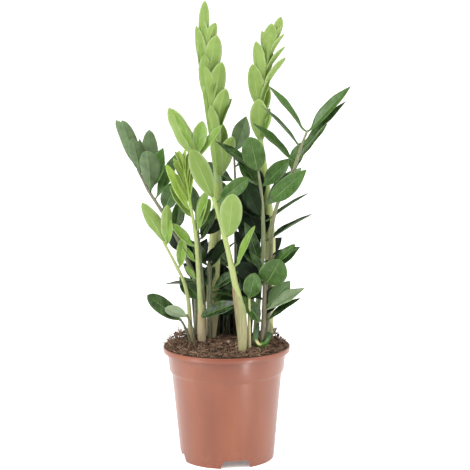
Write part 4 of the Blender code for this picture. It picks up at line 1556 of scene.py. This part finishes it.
sheaths = (
    ("front_shoot", -12, 320, -4, lambda side: 86 - 26 * abs(side + 0.3) ** 1.3, 0.7, papery),
    ("middle_shoot", 15, 300, -4, lambda side: 58 - 26 * abs(side - 0.3) ** 1.4, 0.5, straw),
    ("right_shoot", -30, 280, -4, lambda side: 40 - 18 * abs(side + 0.4), 0.5, papery),
    ("tall_shoot", 20, 280, -4, lambda side: 46 - 20 * abs(side - 0.2), 0.5, straw),
)
for shoot, facing, span, low, top_at, gap, look in sheaths:
    sheath = wrap_strip(
        shoot + "_sheath", shoot, facing, span, low, top_at, gap, flare=0.0, thick=0.5, pinch=0.24
    )
    finish_piece(sheath, look, "young_stem")


def stub_finish():
    made = Finish("cut_leaf_base_skin", Specular_IOR_Level=0.45)
    across, along, _ = made.split(made.node("UVMap", {"uv_map": "UVMap"}))
    streak = made.noise(0.0016, detail=4.0, stretch=(1, 1, 0.15))
    front = stretch(abs(across * 2 - 1), 0.8, 0.2)
    colour = made.blend(streak, tint(18, 42, 15), tint(44, 82, 30))
    colour = made.blend(front * stretch(along, 0.0, 0.5) * 0.7, colour, tint(70, 116, 40))
    cut = stretch(abs(across * 2 - 0.85), 0.26, 0.1) * stretch(along, 0.85, 0.97)
    colour = made.blend(cut, colour, tint(190, 184, 128))
    made.feed("Base Color", colour)
    made.feed("Roughness", 0.3 + streak * 0.15)
    made.bump(streak, 0.0004)
    return made


stub = wrap_strip(
    "cut_leaf_stub", "low_frond", facing=-10, span=250, low=-5,
    top_at=lambda side: 8 + (20 - 6 * side) * abs(side) ** 1.4, gap=2.2, flare=2.6, thick=4.6,
)
finish_piece(stub, stub_finish(), "cut_sheath", "cut_leaf_base")

# %% [markdown]
# ## The studio
# A wide pale floor under a white surround, which is darker overhead and behind the camera so that
# glossy leaves and the pot have something dark to reflect. A large soft light shines from above and
# in front, two softboxes fill in from the sides, and two small strips near the pot draw the upright
# highlights down it. The camera looks slightly down.

# %% Floor, lights, surround and camera
take()
bpy.ops.mesh.primitive_plane_add(size=600, location=(0, 0, 0))
floor = named("pale_floor")
floor_paint = Finish(
    "pale_floor_paint", Roughness=0.9, Specular_IOR_Level=0.0, Emission_Strength=0.2
)
floor_paint.feed("Base Color", tint(254, 254, 254))
floor.data.materials.append(floor_paint.material)

WALL_GLOW = 1.2
CEILING_GLOW = 0.45
BEHIND_CAMERA_GLOW = 0.45

scene = bpy.context.scene
surround = bpy.data.worlds.new("white_surround")
scene.world = surround
surround.use_nodes = True
backdrop = surround.node_tree.nodes["Background"]
backdrop.inputs["Color"].default_value = (1, 1, 1, 1)
heading = surround.node_tree.nodes.new("ShaderNodeTexCoord")
parts = surround.node_tree.nodes.new("ShaderNodeSeparateXYZ")
plug(Wire(heading.outputs["Generated"]), parts.inputs[0])
_, depth, rise = (Wire(out) for out in parts.outputs)
glow = WALL_GLOW - stretch(rise, 0.34, 0.6) * (WALL_GLOW - CEILING_GLOW)
behind_camera = stretch(depth, -0.62, -0.88)
glow = glow - behind_camera * (glow - BEHIND_CAMERA_GLOW)
plug(glow, backdrop.inputs["Strength"])


def soft_light(name, spot, target, width, height, power, shine_only=False):
    """A lamp with a flat face. With shine_only it shows in highlights and lights nothing else."""
    lamp = bpy.data.lights.new(name, "AREA")
    lamp.shape, lamp.size, lamp.size_y, lamp.energy = "RECTANGLE", width, height, power
    light = add_object(name, lamp)
    light.location = spot
    light.rotation_euler = (Vector(target) - Vector(spot)).to_track_quat("-Z", "Y").to_euler()
    light.visible_diffuse = not shine_only
    light.visible_camera = False


OVERHEAD_STRENGTH = 2.9
OVERHEAD_SPREAD = math.radians(75)
OVERHEAD_HEADING = Vector((0.2, 0.6, -1.0))
overhead = bpy.data.lights.new("overhead_softbox", "SUN")
overhead.energy = OVERHEAD_STRENGTH
overhead.angle = OVERHEAD_SPREAD
overhead_light = add_object("overhead_softbox", overhead)
overhead_light.rotation_euler = OVERHEAD_HEADING.to_track_quat("-Z", "Y").to_euler()
# a lamp's place, what it points at, its width and height in metres, and its watts
soft_light("left_softbox", (-1.5, -1.2, 1.6), (0, 0, 0.3), 0.9, 1.1, 32)
soft_light("right_softbox", (1.7, -0.8, 1.2), (0, 0, 0.25), 0.7, 1.1, 23)
soft_light("right_strip", (0.126, -0.182, 0.065), (0.027, -0.070, 0.12), 0.03, 0.12, 0.125, True)
soft_light("left_strip", (-0.22, -0.20, 0.07), (-0.035, -0.068, 0.12), 0.10, 0.13, 0.15, True)

EYE = Vector((0.0122, -1.70, 0.52))
AIM = Vector((0.0122, 0.0, 0.3005))
CAMERA_ROLL = math.radians(0.35)
SENSOR_WIDTH = 36
FOCAL_SHARE = 2.75319  # of the sensor's width

ahead = (AIM - EYE).normalized()
right = ahead.cross(Vector((0, 0, 1))).normalized()
up = right.cross(ahead)
right, up = (
    right * math.cos(CAMERA_ROLL) - up * math.sin(CAMERA_ROLL),
    up * math.cos(CAMERA_ROLL) + right * math.sin(CAMERA_ROLL),
)
lens = bpy.data.cameras.new("studio_camera")
lens.sensor_width = SENSOR_WIDTH
lens.lens = SENSOR_WIDTH * FOCAL_SHARE
camera = add_object("studio_camera", lens)
turned = Matrix((right, up, -ahead)).transposed().to_4x4()
camera.matrix_world = Matrix.Translation(EYE) @ turned
scene.camera = camera
scene.view_settings.view_transform = "Standard"
